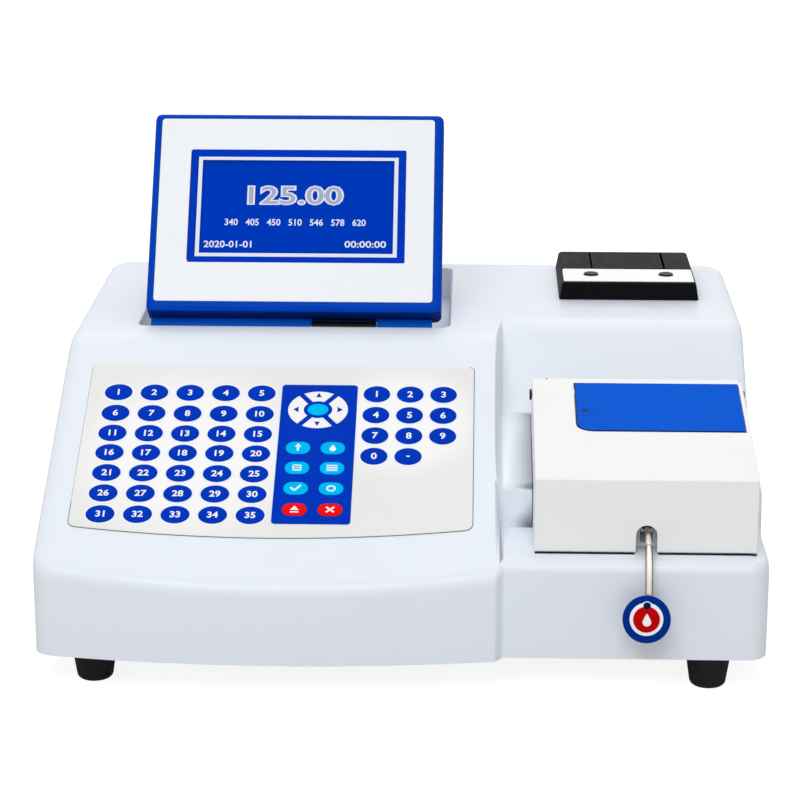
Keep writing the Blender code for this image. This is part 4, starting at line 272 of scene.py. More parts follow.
# Painted shade: a darker copy of the shell's blue, for the faces that turn downwards.
display_under_painted_shade = moulded("display_underside_painted_shade", (0, 44, 124), 0.45, cloud=16, cloud_depth=0.08,
                        grain=1500, grain_depth=0.00003, specular=0.03)
display_white = moulded("display_face_white", (241, 244, 248), 0.40, cloud=8, cloud_depth=0.010,
                        grain=2400, specular=0.3)
screen_light = moulded("screen_light", (232, 234, 244), 0.4, cloud=90, cloud_depth=0.02,
                       grain=3000, grain_depth=0.00001, specular=0.1)
screen_grey = moulded("screen_grey", (168, 174, 198), 0.4, cloud=90, grain=3000,
                      grain_depth=0.00001, specular=0.1)
# Painted light: a paler copy of the shell's blue for the hinge barrels, which sit in the display's
# shade.
display_barrel_painted_light = moulded("display_barrel_painted_light", (0, 92, 214), 0.45, cloud=16, cloud_depth=0.08,
                         grain=1500, grain_depth=0.00003, specular=0.03)
door_blue = moulded("door_blue", (23, 94, 217), 0.40, cloud=12, grain=1600, specular=0.0)
navy_plastic = moulded("navy_plastic", (2, 20, 66), 0.4, cloud=60, cloud_depth=0.08, grain=1600,
                       grain_depth=0.00003, specular=0.06)
disc_blue = moulded("disc_blue", (0, 48, 140), 0.38, cloud=40, cloud_depth=0.05, grain=1600,
                    grain_depth=0.00003, specular=0.02)
printer_black = moulded("printer_black", (17, 17, 18), 0.50, cloud=26, cloud_depth=0.05,
                        grain=1300, grain_depth=0.00004, specular=0.03, rub=0.04)
seat_black = moulded("hinge_black", (10, 10, 12), 0.5, cloud=40, cloud_depth=0.15, grain=1600,
                     grain_depth=0.00005, specular=0.2)
# Painted shade: near-black, for strips and sleeves that stand in for the shade of gaps and holes.
painted_shade_black = moulded("painted_shade_black", (1, 1, 1), 0.9, cloud=60, cloud_depth=0.1, grain=900,
                    specular=0.0)
strip_silver = moulded("strip_film", (254, 254, 254), 0.38, cloud=20, cloud_depth=0.004,
                       grain=2400)
foot_rubber = moulded("foot_rubber", (24, 24, 25), 0.75, cloud=60, cloud_depth=0.2, grain=900,
                      grain_depth=0.00012, specular=0.2, rub=0.08)
bracket_grey = moulded("bracket_grey", (236, 236, 237), 0.50, cloud=80, cloud_depth=0.06,
                       grain=1600, grain_depth=0.00004, specular=0.2)
# The rim colour of the steel rod is a painted reflection along its flanks.
rod_steel = moulded("rod_steel", (244, 232, 220), 0.26, cloud=160, cloud_depth=0.04, grain=900,
                    metallic=1.0, stretch=(1, 1, 0.12), specular=0.1, rim=(84, 70, 58))
rod_bright = moulded("rod_bright", (240, 228, 214), 0.30, cloud=160, cloud_depth=0.04, grain=900,
                     metallic=1.0, stretch=(1, 1, 0.12))
pin_steel = moulded("pin_steel", (186, 187, 190), 0.30, cloud=90, cloud_depth=0.08,
                    grain_depth=0.00003, metallic=1.0)
sheet_zinc = moulded("sheet_zinc", (196, 198, 201), 0.44, cloud=30, cloud_depth=0.10, grain=1200,
                     grain_depth=0.00004, metallic=1.0, stretch=(0.15, 1, 1), rub=0.35)
alloy_black = moulded("alloy_black", (58, 60, 64), 0.45, cloud=60, cloud_depth=0.12, grain=1600,
                      grain_depth=0.00004, metallic=0.6, rub=0.5)
thermal_paper = moulded("thermal_paper", (240, 240, 236), 0.85, cloud=60, grain=2600,
                        grain_depth=0.00004, specular=0.25)
print(len(bpy.data.materials), "materials")

# %% [markdown]
# Two finishes need a pattern of their own. The screen is a grid of small dots behind a
# polished window: a Wave texture across and another one up draw the faint rows and columns.
# The circuit boards have tracks, which a Voronoi texture with its distance turned into thin
# bands draws well enough for a part that is only seen through the rear grille.

# %% The screen and the boards
WAVES_PER_PITCH = 0.314


def dotted(name, rgb, pitch, depth, lean):
    """Dots a pitch apart, in metres, on a plane that leans back."""
    material = bpy.data.materials.new(name)
    nodes, links = nodes_of(material)
    shader = nodes["Principled BSDF"]
    coords = nodes.new("ShaderNodeTexCoord").outputs["Object"]
    turned = nodes.new("ShaderNodeMapping")
    turned.inputs["Rotation"].default_value = (-lean, 0, 0)
    links.new(coords, turned.inputs["Vector"])
    rows = []
    for way in ("X", "Y"):
        wave = nodes.new("ShaderNodeTexWave")
        wave.bands_direction = way
        wave.inputs["Scale"].default_value = WAVES_PER_PITCH / pitch
        links.new(turned.outputs["Vector"], wave.inputs["Vector"])
        rows.append(wave.outputs["Fac"])
    grid = nodes.new("ShaderNodeMath")
    grid.operation = "MINIMUM"
    links.new(rows[0], grid.inputs[0])
    links.new(rows[1], grid.inputs[1])
    base = colour_of(*rgb)
    stops = [(0.0, shade(base, 1 - depth)), (0.35, shade(base, 1 + depth))]
    links.new(ramp(nodes, links, grid.outputs[0], stops), shader.inputs["Base Color"])
    shader.inputs["Roughness"].default_value = 0.30
    shader.inputs["Specular IOR Level"].default_value = 0.0
    return material


def tracked(name, rgb, track_rgb):
    material = bpy.data.materials.new(name)
    nodes, links = nodes_of(material)
    shader = nodes["Principled BSDF"]
    coords = nodes.new("ShaderNodeTexCoord").outputs["Object"]
    cells = nodes.new("ShaderNodeTexVoronoi")
    cells.feature = "DISTANCE_TO_EDGE"
    cells.inputs["Scale"].default_value = 160
    links.new(coords, cells.inputs["Vector"])
    stops = [(0.03, colour_of(*track_rgb)), (0.05, colour_of(*rgb))]
    links.new(ramp(nodes, links, cells.outputs["Distance"], stops), shader.inputs["Base Color"])
    fine = noise(nodes, links, coords, 900)
    links.new(between(nodes, links, fine, 0.32, 0.46), shader.inputs["Roughness"])
    shader.inputs["Coat Weight"].default_value = 0.3
    return material


DISPLAY_LEAN = 54
screen_blue = dotted("screen_blue", (0, 58, 188), 0.0005, 0.05, math.radians(DISPLAY_LEAN))
board_green = tracked("board_green", (18, 88, 48), (34, 120, 66))
print(screen_blue.name, "and", board_green.name)

# %% [markdown]
# One table says what each solid wears. The rubber of the feet also covers the platen roller,
# and the black of the hinges also serves the sockets at the back.

# %% Which node wears which finish
FINISH = {
    "upper_housing": housing_paint, "base_pan": housing_paint, "keypad_overlay": keypad_film,
    "foot_front_left": foot_rubber, "foot_front_right": foot_rubber, "foot_rear_left": foot_rubber,
    "foot_rear_right": foot_rubber, "display_shell": display_blue, "display_face": display_white,
    "lcd_window": screen_blue, "display_board": board_green, "display_lug": seat_black,
    "display_pin": pin_steel, "printer_body": printer_black, "printer_strip": strip_silver,
    "printer_button_left": seat_black, "printer_button_right": seat_black,
    "printer_lid": printer_black, "paper_roll": thermal_paper, "platen_roller": foot_rubber,
    "print_mechanism": alloy_black, "sample_cover": cover_plastic, "cover_door": door_blue,
    "cover_bracket": sheet_zinc, "cover_pin_left": seat_black, "cover_pin_right": seat_black,
    "cell_holder": alloy_black, "lever_clevis": bracket_grey, "lever_pin": pin_steel,
    "aspirate_rod": rod_steel, "aspirate_disc": disc_blue, "aspirate_label": key_print,
    "rear_panel": sheet_zinc, "power_inlet": seat_black, "switch_frame": seat_black,
    "power_rocker": seat_black, "serial_port": pin_steel, "waste_outlet": seat_black,
    "fan_frame": seat_black, "fan_rotor": seat_black, "main_board": board_green,
    "power_supply": sheet_zinc, "optics_rail": alloy_black, "lamp_house": alloy_black,
    "lens_tube": alloy_black, "flow_block": alloy_black, "filter_motor": pin_steel,
    "filter_wheel": alloy_black, "detector": seat_black, "pump_motor": pin_steel,
    "pump_head": seat_black, "pump_rotor": strip_silver,
}
for node, solid in frame["nodes"].items():
    solid.data.materials.clear()
    solid.data.materials.append(FINISH[node])
print(len(FINISH), "nodes dressed")

# %% [markdown]
# The frame's solids are loose triangles. Where only the edges need softening, a copy is
# merged, its flat triangles are dissolved into whole faces, and a Bevel modifier rounds what
# is left, which is what a mould does to a real corner. The copy then stands for the solid.

# %% Rounded copies of the moulded pieces
def softened(node, width, segments=2, angle=35, smooth=35, flat=0.4):
    piece = bpy.data.objects.new(node + "_soft", frame["nodes"][node].data.copy())
    bpy.context.scene.collection.objects.link(piece)
    take(piece)
    bpy.ops.object.mode_set(mode="EDIT")
    bpy.ops.mesh.select_all(action="SELECT")
    bpy.ops.mesh.remove_doubles(threshold=0.00002)
    bpy.ops.mesh.dissolve_limited(angle_limit=math.radians(flat), delimit={"NORMAL"})
    bpy.ops.object.mode_set(mode="OBJECT")
    if width:
        bevel = piece.modifiers.new("edges", "BEVEL")
        bevel.width = width
        bevel.segments = segments
        bevel.limit_method = "ANGLE"
        bevel.angle_limit = math.radians(angle)
        bevel.use_clamp_overlap = True
        bevel.miter_outer = "MITER_ARC"
    apply_all(piece)
    settle(piece, node + "_soft", BODY_OF[node], FINISH[node], smooth=smooth)
    weight = piece.modifiers.new("flats", "WEIGHTED_NORMAL")
    weight.keep_sharp = True
    apply_all(piece)
    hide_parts(node)
    print(node, "->", len(piece.data.polygons), "faces")
    return piece


soft = {}
for node, width in (("upper_housing", 0.0), ("display_shell", 0.0008), ("display_face", 0.0003),
                    ("sample_cover", 0.0003), ("cover_door", 0.0003), ("printer_body", 0.0015),
                    ("printer_lid", 0.0), ("printer_strip", 0.0006), ("base_pan", 0.0),
                    ("foot_front_left", 0.0), ("foot_front_right", 0.0), ("foot_rear_left", 0.0),
                    ("foot_rear_right", 0.0), ("aspirate_rod", 0.0), ("aspirate_disc", 0.0)):
    soft[node] = softened(node, width)

# %% [markdown]
# ## Modelling helpers
# Everything below is modelled flat, on the plane of the piece that carries it: X runs to the
# right, Y up the slope and Z out of it. `settle` then leans it into place. `pick` opens a
# piece in edit mode with only the faces or edges that pass a test, which is how a hand would
# click on them, and `done` closes it again.

# %% Pick, slab and oval
def pick(piece, test, mode="FACE"):
    take(piece)
    bpy.ops.object.mode_set(mode="EDIT")
    bpy.ops.mesh.select_mode(type=mode)
    bpy.ops.mesh.select_all(action="DESELECT")
    bpy.ops.object.mode_set(mode="OBJECT")
    mesh = piece.data
    if mode == "FACE":
        for face in mesh.polygons:
            face.select = bool(test(face.center, face.normal))
    else:
        for edge in mesh.edges:
            a, b = (mesh.vertices[i].co for i in edge.vertices)
            edge.select = bool(test((a + b) / 2, (b - a).normalized()))
    bpy.ops.object.mode_set(mode="EDIT")


def done():
    bpy.ops.object.mode_set(mode="OBJECT")


def round_rim(piece, edge, steps=2):
    """Bevel the rim of the top face."""
    pick(piece, lambda at, out: out.z > 0.9)
    bpy.ops.mesh.region_to_loop()
    bpy.ops.mesh.bevel(offset=edge, segments=steps, affect="EDGES")
    done()


def slab(u0, u1, v0, v1, low, high, corner=0.0, steps=5, edge=0.0):
    """A cube stretched to a plate, with its upright corners and then its rim rounded."""
    clear()
    middle = ((u0 + u1) / 2, (v0 + v1) / 2, (low + high) / 2)
    bpy.ops.mesh.primitive_cube_add(size=1, location=middle)
    piece = bpy.context.object
    piece.scale = (u1 - u0, v1 - v0, high - low)
    bpy.ops.object.transform_apply(location=True, rotation=True, scale=True)
    if corner:
        pick(piece, lambda mid, way: abs(way.z) > 0.9, "EDGE")
        bpy.ops.mesh.bevel(offset=corner, segments=steps, affect="EDGES")
        done()
    if edge:
        round_rim(piece, edge)
    return piece


def oval(u, v, width, height, low, high, sides=32, edge=0.0):
    """A cylinder pressed to an oval plate."""
    clear()
    bpy.ops.mesh.primitive_cylinder_add(vertices=sides, radius=0.5, depth=high - low,
                                        location=(u, v, (low + high) / 2))
    piece = bpy.context.object
    piece.scale = (width, height, 1)
    bpy.ops.object.transform_apply(location=True, rotation=True, scale=True)
    if edge:
        round_rim(piece, edge)
    return piece


def turned_flat(piece, u, v, degrees):
    """Turn a flat piece about the upright line through u, v."""
    take(piece)
    bpy.ops.object.mode_set(mode="EDIT")
    bpy.ops.mesh.select_all(action="SELECT")
    bpy.ops.transform.rotate(value=-math.radians(degrees), orient_axis="Z",
                             center_override=(u, v, 0))
    done()
    return piece


def carve(piece, *cutters):
    """Cut every cutter out of the piece, and delete it."""
    for cutter in cutters:
        take(piece)
        cutting = piece.modifiers.new("cut", "BOOLEAN")
        cutting.operation = "DIFFERENCE"
        cutting.solver = "EXACT"
        cutting.object = cutter
        apply_all(piece)
        clear()
        cutter.select_set(True)
        bpy.ops.object.delete()
    return piece


def twin_at(piece, du, dv):
    """A copy with a mesh of its own, du and dv away."""
    twin = bpy.data.objects.new(piece.name, piece.data.copy())
    bpy.context.scene.collection.objects.link(twin)
    twin.location = (du, dv, 0)
    return twin


def twins(piece, places):
    """A copy at every place; the first one is then deleted."""
    made = [twin_at(piece, u, v) for u, v in places]
    take(piece)
    bpy.ops.object.delete()
    return made


def bond(pieces):
    """Join pieces of one finish into one object."""
    clear()
    for piece in pieces:
        piece.select_set(True)
    bpy.context.view_layer.objects.active = pieces[0]
    bpy.ops.object.join()
    return bpy.context.object


FIGURE_HEIGHT = 0.0070


def digits(text, u, v, low, high, tall, wide=1.0, bold=0.0, side="CENTER"):
    """Numbers from the built-in letter, made a mesh, then set to a height in metres."""
    clear()
    bpy.ops.object.text_add(location=(0, 0, 0))
    sign = bpy.context.object
    sign.data.body = text
    sign.data.size = 0.01
    sign.data.resolution_u = 3
    sign.data.extrude = (high - low) / 2
    bpy.context.view_layer.update()
    xs = [corner[0] for corner in sign.bound_box]
    ys = [corner[1] for corner in sign.bound_box]
    grow = tall / (max(ys) - min(ys) if text != "-" else FIGURE_HEIGHT)
    sign.data.offset = bold
    bpy.ops.object.convert(target="MESH")
    sign = bpy.context.object
    across = (max(xs) - min(xs)) * grow * wide
    start = {"LEFT": u, "CENTER": u - across / 2, "RIGHT": u - across}[side]
    sign.scale = (grow * wide, grow, 1)
    middle = (max(ys) + min(ys)) / 2 * grow
    sign.location = (start - min(xs) * grow * wide, v - middle, (low + high) / 2)
    bpy.ops.object.transform_apply(location=True, rotation=True, scale=True)
    return sign


def tube(points, radius, sides=3):
    """A round bar along points: a path with a thickness, made a mesh."""
    clear()
    bpy.ops.curve.primitive_nurbs_path_add(location=(0, 0, 0))
    path = bpy.context.object
    path.data.splines.clear()
    line = path.data.splines.new("POLY")
    line.points.add(len(points) - 1)
    for knot, place in zip(line.points, points):
        knot.co = (*place, 1.0)
    path.data.bevel_depth = radius
    path.data.bevel_resolution = sides
    path.data.use_fill_caps = True
    bpy.ops.object.convert(target="MESH")
    return bpy.context.object


def cut_sheet(points, low, high):
    """A flat closed outline, filled and given a thickness, made a mesh."""
    clear()
    bpy.ops.curve.primitive_nurbs_path_add(location=(0, 0, 0))
    path = bpy.context.object
    path.data.dimensions = "2D"
    path.data.fill_mode = "BOTH"
    path.data.splines.clear()
    line = path.data.splines.new("POLY")
    line.points.add(len(points) - 1)
    for knot, place in zip(line.points, points):
        knot.co = (place[0], place[1], 0.0, 1.0)
    line.use_cyclic_u = True
    path.data.extrude = (high - low) / 2
    bpy.ops.object.convert(target="MESH")
    piece = bpy.context.object
    piece.location = (0, 0, (low + high) / 2)
    bpy.ops.object.transform_apply(location=True, rotation=True, scale=True)
    pick(piece, lambda at, out: True)
    bpy.ops.mesh.remove_doubles(threshold=0.000001)
    bpy.ops.mesh.normals_make_consistent(inside=False)
    done()
    return piece


def second_finish(piece, finish, test):
    """Give the faces that pass a test another finish, in a second material slot."""
    pick(piece, test)
    piece.data.materials.append(finish)
    piece.active_material_index = len(piece.data.materials) - 1
    bpy.ops.object.material_slot_assign()
    done()


HINGE_Y, HINGE_Z, BARREL_REACH = 0.0290, 0.1610, 0.0060


def near_hinge(at, out):
    """True for the faces of the display's hinge barrels."""
    return (at.y - HINGE_Y) ** 2 + (at.z - HINGE_Z) ** 2 < BARREL_REACH ** 2


# Painted shade: faces of the shell that turn downwards get a darker copy of its blue.
second_finish(soft["display_shell"], display_under_painted_shade, lambda at, out: out.z < -0.30)
# Painted light: the hinge barrels get a paler copy of the shell's blue, though they sit in shade.
second_finish(soft["display_shell"], display_barrel_painted_light, near_hinge)
print("display shell wears", soft["display_shell"].data.materials.keys())

# %% [markdown]
# ## The keypad
# The keypad is one printed film stuck on the slope, with the keys pressed up in it. Each key
# is a blue oval plate with a rounded rim, modelled once and copied to its place, each copy
# with its own mesh, then all joined. A thin ring paler than the film lies under each, a
# painted highlight for the light caught by the pressed edge. The numbers are laid on top.

# %% The film
SLOPE = leaning((0.0, -0.186, 0.0735), 27)
FILM_U0, FILM_U1, FILM_TOP, FILM_SIDE, FILM_MID = -0.1955, 0.0418, 0.1732, 0.0345, 0.0262
LOW_CORNER, TOP_CORNER = 0.005, 0.0025
PALE = (252, 252, 253)


def film_outline():
    """Points round the film, against the clock: the long low arc, then up the right side."""
    middle, half = (FILM_U0 + FILM_U1) / 2, (FILM_U1 - FILM_U0) / 2
    points = []
    for k in range(33):
        u = FILM_U0 + LOW_CORNER + (2 * half - 2 * LOW_CORNER) * k / 32
        share = (u - middle) / half
        points.append((u, FILM_MID + (FILM_SIDE - FILM_MID) * share * share))
    for k in range(1, 9):
        a = math.radians(-86 + 86 * k / 8)
        points.append((FILM_U1 - LOW_CORNER + LOW_CORNER * math.cos(a),
                       points[32][1] + 0.0051 + LOW_CORNER * math.sin(a)))
    for k in range(7):
        a = math.radians(15 * k)
        points.append((FILM_U1 - TOP_CORNER + TOP_CORNER * math.cos(a),
                       FILM_TOP - TOP_CORNER + TOP_CORNER * math.sin(a)))
    mirrored = [(2 * middle - u, v) for u, v in reversed(points[33:])]
    return points + mirrored


def painted_light_spot(material, centre, reach, rgb, depth):
    """Blend a colour over a material round a centre, softly, with a Gradient texture."""
    nodes, links = nodes_of(material)
    shader = nodes["Principled BSDF"]
    before = shader.inputs["Base Color"].links[0].from_socket
    mapping = nodes.new("ShaderNodeMapping")
    mapping.inputs["Scale"].default_value = [1 / reach] * 3
    mapping.inputs["Location"].default_value = [-c / reach for c in centre]
    links.new(nodes.new("ShaderNodeTexCoord").outputs["Object"], mapping.inputs["Vector"])
    ball = nodes.new("ShaderNodeTexGradient")
    ball.gradient_type = "SPHERICAL"
    links.new(mapping.outputs["Vector"], ball.inputs["Vector"])
    amount = nodes.new("ShaderNodeMapRange")
    amount.interpolation_type = "SMOOTHSTEP"
    amount.inputs["From Max"].default_value = 0.55
    amount.inputs["To Max"].default_value = depth
    links.new(ball.outputs["Fac"], amount.inputs["Value"])
    paler = mixed(nodes, links, amount.outputs["Result"], before, colour_of(*rgb))
    links.new(paler, shader.inputs["Base Color"])


# Painted light: the film is painted paler round the two blocks of keys, a pool of light.
painted_light_spot(keypad_film, SLOPE @ Vector((-0.1285, 0.097, 0)), 0.085, PALE, 0.9)
painted_light_spot(keypad_film, SLOPE @ Vector((-0.0010, 0.125, 0)), 0.056, PALE, 0.9)

outline = film_outline()
film = cut_sheet(outline, -0.0005, 0.0003)
settle(film, "keypad_film", "base", keypad_film, SLOPE, smooth=20)
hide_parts("keypad_overlay")
print("film", len(outline), "points,", len(film.data.polygons), "faces")

# %% [markdown]
# The heights below are measured from the slope: a key plate, its halo and the print on it.
# The film itself ends 0.3 mm above the slope, so plates and halos start inside it.

# %% Key plates and their painted highlight halos
PLATE = (0.0001, 0.0008)
PAINTED_HALO = (0.0001, 0.00042)
PRINT = (0.00078, 0.00086)
LIST_U, LIST_STEP_U = -0.1772, 0.0221
LIST_V = (0.1481, 0.1297, 0.1122, 0.0954, 0.0783, 0.0613, 0.0441)
NUMBER_U, NUMBER_STEP_U = -0.0179, 0.0205
NUMBER_V = (0.1482, 0.1298, 0.1119, 0.0942)

list_keys = [(LIST_U + LIST_STEP_U * c, LIST_V[r], str(5 * r + c + 1))
             for r in range(7) for c in range(5)]
number_keys = [(NUMBER_U + NUMBER_STEP_U * (k % 3), NUMBER_V[k // 3], "1234567890-"[k])
               for k in range(11)]


def key_set(places, width, height, low, high, edge):
    """One oval plate, copied to every place."""
    first = oval(0, 0, width, height, low, high, 40, edge)
    return twins(first, [(u, v) for u, v, mark in places])


keys = key_set(list_keys, 0.0171, 0.0141, *PLATE, 0.00025)
keys += key_set(number_keys, 0.0164, 0.0142, *PLATE, 0.00025)
highlight_halos = key_set(list_keys, 0.0197, 0.0165, *PAINTED_HALO, 0.0001)
highlight_halos += key_set(number_keys, 0.0190, 0.0166, *PAINTED_HALO, 0.0001)
settle(bond(keys), "keypad_keys", "base", key_blue, SLOPE)
settle(bond(highlight_halos), "keypad_painted_highlights", "base", painted_highlight_halo, SLOPE)
print(len(list_keys) + len(number_keys), "keys")

# %% [markdown]
# The list keys are numbered 1 to 35 and the number keys are those of any keypad, so the
# analyser carries plain numbers only.

# %% Key numbers
marks = [digits(mark, u, v, *PRINT, 0.0047, 1.02, 0.00024) for u, v, mark in list_keys]
marks += [digits(mark, u, v, *PRINT, 0.0050, 1.00, 0.00022) for u, v, mark in number_keys]
settle(bond(marks), "keypad_numbers", "base", key_print, SLOPE, smooth=0)
print(len(list_keys) + len(number_keys), "numbers")

# %% [markdown]
# The blue field in the middle carries a ring of four white arrow keys round a light blue
# oval, and four rows of pills. The white ring is one oval with a smaller oval and two
# crossed bars cut out of it, which leaves the four arc-shaped keys with even gaps.

# %% The blue field and the arrow keys
PAD_U, PAD_V = -0.0534, 0.1336
RAISED = (0.0005, 0.0011)
GAP_TURN, GAP_HALF = 51, 0.0017
field = slab(-0.0763, -0.0298, 0.0376, 0.1560, 0.0001, 0.0007, 0.0022, 5, 0.0001)
settle(field, "keypad_field", "base", key_blue, SLOPE)

arrows = oval(PAD_U, PAD_V, 0.0366, 0.0321, *RAISED, 64)
gaps = []
for turn in (GAP_TURN, -GAP_TURN):
    cross = slab(PAD_U - 0.03, PAD_U + 0.03, PAD_V - GAP_HALF, PAD_V + GAP_HALF, 0.0, 0.002)
    gaps.append(turned_flat(cross, PAD_U, PAD_V, turn))
carve(arrows, oval(PAD_U, PAD_V, 0.0174, 0.0148, 0.0, 0.002, 48), *gaps)
round_rim(arrows, 0.0002)
settle(arrows, "keypad_arrow_keys", "base", key_print, SLOPE)
pad_ring = oval(PAD_U, PAD_V, 0.0174, 0.0148, 0.0005, 0.00102, 40, 0.0001)
settle(pad_ring, "keypad_ring", "base", key_blue, SLOPE)
pad_middle = oval(PAD_U, PAD_V, 0.0129, 0.0102, 0.0005, 0.00118, 40, 0.0002)
settle(pad_middle, "keypad_middle", "base", key_cyan, SLOPE)

pointers = []
POINTER_AT = ((0, 0.0122, 0, 0.0040, 0.0050), (-0.0130, 0, 90, 0.0056, 0.0043),
              (0.0130, 0, -90, 0.0056, 0.0043), (0, -0.0119, 180, 0.0040, 0.0050))
for du, dv, turn, wide, tall in POINTER_AT:
    tip = oval(PAD_U + du, PAD_V + dv, wide, tall, 0.0009, 0.00118, 3)
    pointers.append(turned_flat(tip, PAD_U + du, PAD_V + dv, turn))
settle(bond(pointers), "keypad_arrow_marks", "base", key_blue, SLOPE, smooth=0)
print("arrow keys", len(arrows.data.polygons), "faces")

# %% [markdown]
# The pills stand in four rows of two. The lower rows lie a little further right, as the
# print does on the real film.

# %% Pills
PILL_W, PILL_H = 0.0147, 0.0102
PILL_U = (-0.0638, -0.0428)
PILL_V = (0.1004, 0.0834, 0.0663, 0.0489)
PILL_SHIFT = (0.0, 0.0003, 0.0005, 0.0007)
PILL_AT = [(u + PILL_SHIFT[row], PILL_V[row]) for row in range(4) for u in PILL_U]
pill = slab(-PILL_W / 2, PILL_W / 2, -PILL_H / 2, PILL_H / 2, *RAISED,
            PILL_H / 2 - 0.00001, 10, 0.0002)
pills = twins(pill, PILL_AT)
settle(bond(pills[:6]), "keypad_blue_pills", "base", key_cyan, SLOPE)
settle(bond(pills[6:]), "keypad_red_pills", "base", key_red, SLOPE)
print(len(PILL_AT), "pills")

# %% [markdown]
# The pills carry plain signs: an arrow, a drop, a sheet, a list, a tick, a ring, a triangle
# over a bar, and a cross. Each is a few bars and ovals, because at this size a sign is read
# from its outline alone.

# %% Signs on the pills
LOW, HIGH = 0.0010, 0.00118


def bar(u, v, length, thick, turn=0.0):
    """A straight stroke; turn is in degrees."""
    piece = slab(u - length / 2, u + length / 2, v - thick / 2, v + thick / 2, LOW, HIGH)
    return turned_flat(piece, u, v, turn) if turn else piece


def drop(u, v, width, height, low, high):
    """A round plate whose upper half is drawn out to a point."""
    piece = oval(u, v, width, width, low, high, 24)
    top = v + height - width / 2
    for corner in piece.data.vertices:
        rise = (corner.co.y - v) / (width / 2)
        if rise > 0:
            corner.co.y = v + (top - v) * rise
            corner.co.x = u + (corner.co.x - u) * (1 - 0.55 * rise)
    return piece


def ring(u, v, width, height, thick, low, high):
    """An oval plate with a smaller oval cut out of it."""
    hole = (width - 2 * thick, height - 2 * thick)
    return carve(oval(u, v, width, height, low, high, 32),
                 oval(u, v, *hole, low - 0.001, high + 0.001, 32))


def sign_bar(at, du, dv, length, thick, turn=0.0):
    """A bar du and dv away from the middle of a pill."""
    return bar(at[0] + du, at[1] + dv, length, thick, turn)


pointer, tear, sheet, listing, tick, circle, wedge, cross = PILL_AT
signs = [sign_bar(pointer, 0, -0.0006, 0.0040, 0.0012, 90),
         oval(pointer[0], pointer[1] + 0.0017, 0.0046, 0.0038, LOW, HIGH, 3),
         drop(tear[0], tear[1] - 0.0008, 0.0040, 0.0052, LOW, HIGH)]
signs += [sign_bar(sheet, 0, dv, 0.0050, 0.0010) for dv in (0.0020, -0.0020)]
signs += [sign_bar(sheet, du, 0, 0.0046, 0.0009, 90) for du in (-0.0022, 0.0022)]
signs += [sign_bar(sheet, 0, 0, 0.0026, 0.0007)]
signs += [sign_bar(listing, 0, dv, 0.0066, 0.0010) for dv in (-0.0019, 0, 0.0019)]
signs += [sign_bar(tick, -0.0019, -0.0006, 0.0034, 0.0012, -45),
          sign_bar(tick, 0.0011, 0.0003, 0.0058, 0.0012, 50)]
signs += [ring(*circle, 0.0056, 0.0052, 0.0010, LOW, HIGH)]
signs += [oval(wedge[0], wedge[1] + 0.0006, 0.0060, 0.0046, LOW, HIGH, 3),
          sign_bar(wedge, 0, -0.0022, 0.0052, 0.0010)]
signs += [sign_bar(cross, 0, 0, 0.0064, 0.0012, turn) for turn in (42, -42)]
settle(bond(signs), "keypad_signs", "base", key_print, SLOPE, smooth=0)
print(len(signs), "strokes on the pills")

# %% [markdown]
# Painted shade: a thin grey bar runs along the film's cut edge below and on the right, where
# the edge turns away from the light. It follows the same long arc.

# %% The film's edge, a painted shade line
edge_line = [(FILM_U0, FILM_SIDE + 0.020)] + outline[-8:] + outline[:48]
film_shade_line = tube([(u, v, 0.0002) for u, v in edge_line], 0.00026, 2)
settle(film_shade_line, "keypad_film_painted_edge_shade", "base", painted_edge_shade_grey, SLOPE)
print(len(edge_line), "points round the film")

# %% [markdown]
# ## The screen
# Behind the window the display shows plain figures: one large reading drawn in outline, a
# row of wavelengths, a date and a clock, all inside a pale frame. The outline figures are
# made twice, a pale bold set and a thinner grey set just above it.

# %% Frame and figures on the screen
FACE = leaning((0.0, 0.0200, 0.1800), DISPLAY_LEAN)
GLASS = -0.00100
PALE_SET = (GLASS, GLASS + 0.00006)
READING = ("125.00", -0.0751, 0.0749)
READING_TALL, READING_WIDE = 0.0120, 1.41

border = carve(slab(-0.1436, -0.0036, 0.0273, 0.1067, 0.00015, 0.00026, 0.0008, 3),
               slab(-0.1395, -0.0085, 0.0322, 0.1012, 0.0, 0.001))
settle(border, "screen_border", "display", key_blue, FACE, smooth=0)
bezel = carve(slab(-0.1388, -0.0087, 0.0313, 0.1014, 0.0001, 0.00032),
              slab(-0.1362, -0.0113, 0.0337, 0.0992, 0.0, 0.001))
settle(bezel, "screen_frame", "display", screen_light, FACE, smooth=0)
lights = [
    digits(*READING, *PALE_SET, READING_TALL, READING_WIDE, 0.00055),
    digits("340   405   450   510   546   578   620", -0.0748, 0.0559, *PALE_SET, 0.0044, 0.94,
           0.00018),
    digits("2020-01-01", -0.1333, 0.0404, *PALE_SET, 0.0045, 1.08, 0.00018, "LEFT"),
    digits("00:00:00", -0.0159, 0.0408, *PALE_SET, 0.0045, 1.22, 0.00018, "RIGHT")]
settle(bond(lights), "screen_figures", "display", screen_light, FACE, smooth=0)
inner = digits(*READING, GLASS + 0.00004, GLASS + 0.00009, READING_TALL, READING_WIDE, 0.00008)
settle(inner, "screen_reading_fill", "display", screen_grey, FACE, smooth=0)
print("screen figures made")

# %% [markdown]
# ## The sampling lever
# The lever is a thin bent rod that comes out of a black sleeve on its hub, a painted shade for
# the dark hole it enters, with a wider sleeve over its lower part, so the solid's own rod is cut
# away and only its hub is kept. The disc has a blue rim, a white ring with a small bump at the
# top, a red middle and a dark stud.

# %% Rod, sleeve, disc rings and stud
ROD_X = 0.1430
DISC_FACE = 0.0012


def rod(places, radius, sides, name, finish):
    """A tube through the places (y, z) in the lever's plane."""
    return settle(tube([(ROD_X, y, z) for y, z in places], radius, sides), name, "lever", finish,
                  smooth=40)


